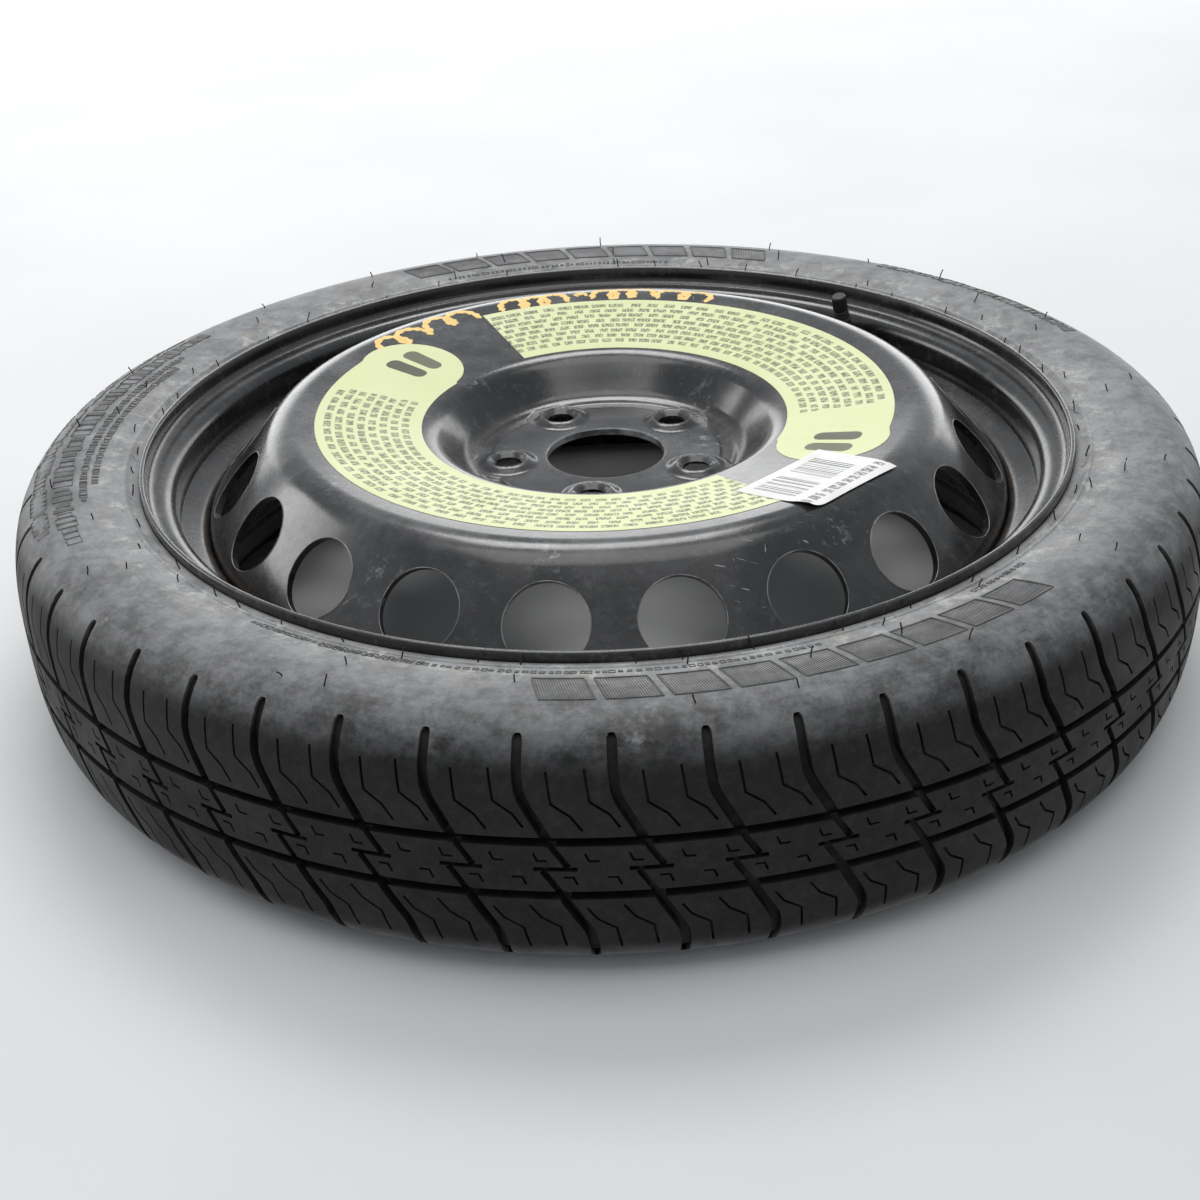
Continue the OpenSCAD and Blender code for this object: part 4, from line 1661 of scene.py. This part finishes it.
@dataclass
class Markings(Part):
    """The vinyl bands, the paper sticker and the paint marks on the disc's crown."""

    disc: Disc
    inner_r: float = 102.5
    outer_r: float = 161.0
    head_r: float = 30.0
    head_middle: float = 134.0
    band_rows: int = 9
    glue: float = 0.05
    film: float = 0.15
    sticker_r: float = 153.0
    sticker_at: float = -46.0
    sticker_wide: float = 66.0
    sticker_tall: float = 51.0
    sticker_grid: tuple[int, int] = (50, 40)
    paper: float = 0.12
    bend_r: float = 170.0
    curl: float = 3.0
    stroke_width: float = 4.9
    strokes: tuple[tuple[float, ...], ...] = (
        (143.5, 132.0, 163, 165, 2, 7.0), (130.0, 118.5, 165, 166, 2, 6.4), (111.5, 97.5, 167, 170, 3, 6.2),
        (94.5, 93.2, 171, 171, 1, 0.9), (91.0, 78.5, 171, 172, 3, 6.0), (76.5, 66.5, 172, 171, 2, 5.4))

    def reach(self, offset: float) -> Point:
        """Finds a band's edges.

        Args:
            offset: Angle past the middle of its head, in degrees.

        Returns:
            Its inner and outer radius there.
        """
        side = self.head_middle * math.sin(math.radians(offset))
        chord = math.sqrt(max(self.head_r ** 2 - side ** 2, 0.0))
        along = self.head_middle * math.cos(math.radians(offset))
        if offset < 0:
            return along - chord, along + chord
        if abs(side) < self.head_r:
            return min(self.inner_r, along - chord), max(self.outer_r, along + chord)
        return self.inner_r, self.outer_r

    def band(self, name: str, head_at: float, sweep: float) -> bpy.types.Object:
        """Makes one band as a thin closed film.

        Args:
            name: The piece's name.
            head_at: Direction of its round head.
            sweep: Angle that it covers beyond its head.

        Returns:
            The piece.
        """
        tip = math.degrees(math.asin(self.head_r / self.head_middle))
        offsets = [-tip * math.cos(math.pi / 2 * k / 12) for k in range(12)]
        offsets += [sweep * k / 96 for k in range(97)]
        low: list[Vector] = []
        uvs: list[Point] = []
        for offset in offsets:
            inner, outer = self.reach(offset)
            for j in range(self.band_rows):
                radius = inner + (outer - inner) * j / (self.band_rows - 1)
                low.append(polar(radius, head_at + offset, self.disc.crown_z(radius)))
                uvs.append((math.radians(offset + tip) * self.head_middle, radius - self.inner_r))
        top = [p + Vector((0, 0, self.glue + self.film)) for p in low]
        piece = make_mesh(name, film(top, low, self.band_rows), uvs=uvs * 2)
        return finish_piece(piece, self.finishes.vinyl)

    def sticker_point(self, x: float, y: float) -> Vector:
        """Finds a place on the sticker, which follows the crown and curls up at one corner.

        Args:
            x: Distance from the axis, along the sticker's own direction.
            y: Distance across that direction.

        Returns:
            The place in millimetres.
        """
        radius = math.hypot(x, y)
        past = max(0.0, radius - self.bend_r)
        curl = max(0.0, (x - self.sticker_r) / (self.sticker_tall / 2) - (y + self.sticker_wide / 2) / 11)
        height = self.disc.face_z(radius) + self.glue + 2 * self.film + 0.008 * past * past
        height += 0.05 * (1 + math.sin(0.32 * y) * math.sin(0.3 * x)) + self.curl * curl ** 3
        return polar(radius - self.curl * curl ** 2, math.degrees(math.atan2(y, x)) + self.sticker_at, height)

    def sticker(self) -> None:
        """Makes the paper sticker."""
        columns, rows = self.sticker_grid
        uvs = [(self.sticker_wide * i / columns, self.sticker_tall * j / rows)
               for i in range(columns + 1) for j in range(rows + 1)]
        top = [self.sticker_point(self.sticker_r - self.sticker_tall / 2 + v, u - self.sticker_wide / 2)
               for u, v in uvs]
        low = [p - Vector((0, 0, self.paper)) for p in top]
        piece = make_mesh("curled_sticker", film(top, low, rows + 1), uvs=uvs * 2)
        finish_piece(piece, self.finishes.paper, replaced=["paper_sticker"])
        piece.data.materials.append(self.finishes.paper_back)
        for face in piece.data.polygons:
            face.material_index = 1 if face.normal.z < -0.2 else 0

    def stroke(self, points: Sequence[Point]) -> Shell:
        """Lays a flat brush stroke on the disc.

        Args:
            points: Its path as (radius, direction).

        Returns:
            Vertices and faces.
        """
        verts: list[Vector] = []
        last = len(points) - 1
        for i, here in enumerate(points):
            along = polar(*points[min(i + 1, last)]) - polar(*points[max(i - 1, 0)])
            side = Vector((-along.y, along.x, 0)).normalized()
            edge = self.stroke_width / 2 * (0.8 + 0.25 * math.sin(i * 1.9)) * (0.5 if i in (0, last) else 1)
            for sign, lift in ((1, 0.02), (0.5, 0.16), (-0.5, 0.16), (-1, 0.02)):
                p = polar(*here) + side * edge * sign
                verts.append(Vector((p.x, p.y, self.disc.face_z(math.hypot(p.x, p.y)) + lift)))
        return np.array(verts), ring_grid(4, len(points), closed=False)

    def loops(self, start: float, end: float, r0: float, r1: float, turns: int, tall: float) -> list[Point]:
        """Draws the path of a stroke: a row of plain loops.

        Args:
            start: Direction in which it starts.
            end: Direction in which it ends.
            r0: Radius at its start.
            r1: Radius at its end.
            turns: Number of loops.
            tall: Half the height of a loop.

        Returns:
            The path as (radius, direction).
        """
        count = 26 * turns
        line: list[Point] = []
        for k in range(count + 1):
            turn = 2 * math.pi * turns * k / count
            size = 1 + 0.22 * math.sin(2.3 * turn / turns + start)
            back = 0.341 * (end - start) / turns * math.sin(turn) * size
            line.append((r0 + (r1 - r0) * k / count - tall * math.cos(turn) * size,
                         start + (end - start) * k / count - back))
        return line

    def build(self) -> None:
        """Makes every piece on the crown."""
        first = self.band("vinyl_band_left", 147.0, 157.0)
        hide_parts("vinyl_bands")
        self.band("vinyl_band_right", -25.0, 142.0)
        self.sticker()
        paint = joined([self.stroke(self.loops(*numbers)) for numbers in self.strokes])
        finish_piece(make_mesh("paint_marks", paint), self.finishes.marker)


@dataclass
class Valve(Part):
    """The snap-in valve: rubber body, stem, core and a ribbed cap."""

    rim: RimShape
    direction: float = 47.0
    lean: float = 15.0
    base_r: float = 234.0
    rubber: float = 29.5
    thread: float = 10.0
    ribs: int = 20
    rib_share: float = 0.035
    body_line: tuple[Corner, ...] = (
        (2.9, -13, 0), (5, -13, 0.8), (6.4, -11, 1), (7.6, -5.3, 1), (7.6, -3.4, 0.3), (5.65, -3.4, 0),
        (5.65, -1, 0), (7.2, -1, 0.3), (7.2, 1.2, 0.5), (7, 3, 1), (6.6, 10, 1), (6.0, 18, 1), (5.6, 24, 0.5),
        (5.9, 24.4, 0.2), (5.9, 25.4, 0.2), (5.3, 25.9, 0.3))

    def place(self) -> Matrix:
        """Finds the placement of the valve's own axis.

        Returns:
            The placement, with the valve's base on the rim's flank.
        """
        lean, rim = math.radians(self.lean), self.rim
        flank = rim.well_top + (self.base_r - rim.well_r) * math.tan(lean) + rim.sheet / math.cos(lean)
        turn = Matrix.Rotation(math.radians(self.direction), 4, "Z")
        return turn @ Matrix.Translation((self.base_r, 0, flank)) @ Matrix.Rotation(-lean, 4, "Y")

    def body(self) -> None:
        """Makes the moulded rubber body with its rings."""
        outer = fillet([*self.body_line, (4.9, self.rubber, 0.5), (2.9, self.rubber, 0)], 3)
        piece = make_mesh("valve_rubber", revolve(outer, 48), place=self.place())
        finish_piece(piece, self.finishes.valve, replaced=["valve_body"])

    def cap(self) -> None:
        """Makes the ribbed cap."""
        low, top, inner = self.rubber + 0.2, self.rubber + self.thread + 2.2, self.rubber + self.thread + 1
        line = fillet([
            (3.9, low, 0), (4.95, low, 0.15), (4.95, low + 1.1, 0.2), (4.6, low + 1.4, 0.1),
            (4.4, top - 1.0, 0.3), (3.8, top, 0.4), (0.01, top, 0), (0.01, inner, 0), (3.9, inner, 0),
        ], 3)
        verts, faces = revolve(resampled(line, 1.6), self.ribs * 8)
        radius, height = radius_and_height(verts)
        grip = (radius > 4.2) & (height > low + 1.5) & (height < top - 0.6)
        rib = self.rib_share * np.cos(np.arctan2(verts[:, 1], verts[:, 0]) * self.ribs)
        verts[:, :2] *= np.where(grip, 1 + rib, 1.0)[:, None]
        piece = make_mesh("valve_cap_ribbed", (verts, faces), sharp=50, place=self.place())
        finish_piece(piece, self.finishes.cap, body="cap", replaced=["valve_cap"])

    def build(self) -> None:
        """Makes the body and the cap, and dresses the pieces that stay as they are."""
        self.body()
        self.cap()
        looks = self.finishes
        for node, material in (
                ("valve_stem", looks.brass), ("core_plug", looks.brass), ("core_gasket", looks.gasket),
                ("core_pin", looks.pin), ("core_cup", looks.seal), ("core_spring", looks.steel),
                ("cap_seal", looks.seal)):
            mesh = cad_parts[node].data
            mesh.materials.clear()
            mesh.materials.append(material)
            log.info("%s: dressed", node)


@dataclass(frozen=True)
class Lamp:
    """A large soft lamp; places and sizes are in metres and the power is in watts."""

    name: str
    place: Corner
    aim: Corner
    size: Point
    power: float

    def hang(self) -> None:
        """Puts the lamp in the scene."""
        data = bpy.data.lights.new(self.name, "AREA")
        data.shape = "RECTANGLE"
        data.size, data.size_y = self.size
        data.energy = self.power
        lamp = bpy.data.objects.new(self.name, data)
        lamp.location = self.place
        lamp.rotation_euler = (Vector(self.aim) - Vector(self.place)).to_track_quat("-Z", "Y").to_euler()
        bpy.context.scene.collection.objects.link(lamp)


@dataclass
class Studio:
    """The floor, the lamps and the camera."""

    floor_side: float = 7.0
    floor_back: float = 2.45
    floor_dark: Corner = (0.68, 0.68, 0.68)
    floor_light: Corner = (0.72, 0.72, 0.72)
    sky: Corner = (0.92, 0.96, 1.0)
    sky_power: float = 0.45
    lamps: tuple[Lamp, ...] = (
        Lamp("wall", (0.0, 2.5, 0.5), (0, 0, 0.4), (5.0, 0.95), 30),
        Lamp("ceiling", (0.0, -0.5, 2.5), (0, -0.2, 0), (2.6, 1.6), 25),
        Lamp("softbox", (-0.1, 1.2, 2.3), (0, 0, 0.1), (1.3, 0.9), 25),
        Lamp("window_left", (-2.3, 0.9, 0.95), (0, 0, 0.1), (1.2, 1.0), 13),
    )
    focal: float = 54.73
    sensor: float = 36.0
    shift: float = 0.0855
    camera_place: Corner = (0.0, -953.648, 476.577)
    pitch: float = 32.1776
    yaw: float = -0.6159
    roll: float = -2.8276

    def floor(self) -> None:
        """Makes the plain pale floor."""
        side, back = self.floor_side, self.floor_back
        mesh = bpy.data.meshes.new("floor")
        corners = [(-side, -side, 0), (side, -side, 0), (side, back, 0), (-side, back, 0)]
        mesh.from_pydata(corners, [], [(0, 1, 2, 3)])
        floor = bpy.data.objects.new("floor", mesh)
        bpy.context.scene.collection.objects.link(floor)
        g = Graph("pale_floor")
        tone = g.noise(3, 4, 0.5).span(0.3, 0.7)
        g.set(Base_Color=g.mix(tone, self.floor_dark, self.floor_light), Roughness=0.55,
              Specular_IOR_Level=0.3)
        floor.data.materials.append(g.material)

    def world(self) -> None:
        """Lights the scene from all round, and shows white behind it."""
        world = bpy.data.worlds.new("studio")
        bpy.context.scene.world = world
        world.use_nodes = True
        nodes, links = world.node_tree.nodes, world.node_tree.links
        nodes.clear()
        soft, white = nodes.new("ShaderNodeBackground"), nodes.new("ShaderNodeBackground")
        path, mix = nodes.new("ShaderNodeLightPath"), nodes.new("ShaderNodeMixShader")
        soft.inputs["Color"].default_value = (*self.sky, 1.0)
        soft.inputs["Strength"].default_value = self.sky_power
        for end, start in zip(mix.inputs, (path.outputs["Is Camera Ray"], soft.outputs[0], white.outputs[0])):
            links.new(start, end)
        links.new(mix.outputs[0], nodes.new("ShaderNodeOutputWorld").inputs[0])

    def camera(self) -> None:
        """Puts the camera where the photograph was taken from."""
        pitch, yaw, roll = (math.radians(a) for a in (self.pitch, self.yaw, self.roll))
        ahead = Vector((math.sin(yaw) * math.cos(pitch), math.cos(yaw) * math.cos(pitch), -math.sin(pitch)))
        level = Vector((math.cos(yaw), -math.sin(yaw), 0))
        up = level.cross(ahead)
        across = level * math.cos(roll) + up * math.sin(roll)
        above = up * math.cos(roll) - level * math.sin(roll)
        data = bpy.data.cameras.new("camera")
        data.lens, data.sensor_width, data.sensor_fit = self.focal, self.sensor, "HORIZONTAL"
        data.shift_y = self.shift
        data.clip_end = 50
        camera = bpy.data.objects.new("camera", data)
        turn = Matrix((across, above, -ahead)).transposed().to_4x4()
        x, y, z = self.camera_place
        camera.matrix_world = Matrix.Translation((x * MM, y * MM, (z + CENTRE_Z) * MM)) @ turn
        bpy.context.scene.collection.objects.link(camera)
        bpy.context.scene.camera = camera

    def build(self) -> None:
        """Sets up the whole studio."""
        bpy.context.scene.view_settings.view_transform = "Standard"
        self.floor()
        self.world()
        for lamp in self.lamps:
            lamp.hang()
        self.camera()


def main() -> None:
    """Builds the studio and every piece of the wheel."""
    logging.basicConfig(level=logging.INFO, format="%(name)s %(message)s")
    Studio().build()
    finishes = Finishes()
    shape = RimShape()
    disc, tyre = Disc(finishes), Tyre(finishes, shape)
    side_marks, markings = SideMarks(finishes, tyre), Markings(finishes, disc)
    for part in (Rim(finishes, shape), disc, tyre, side_marks, markings, Valve(finishes, shape)):
        part.build()


if __name__ == "__main__":
    main()
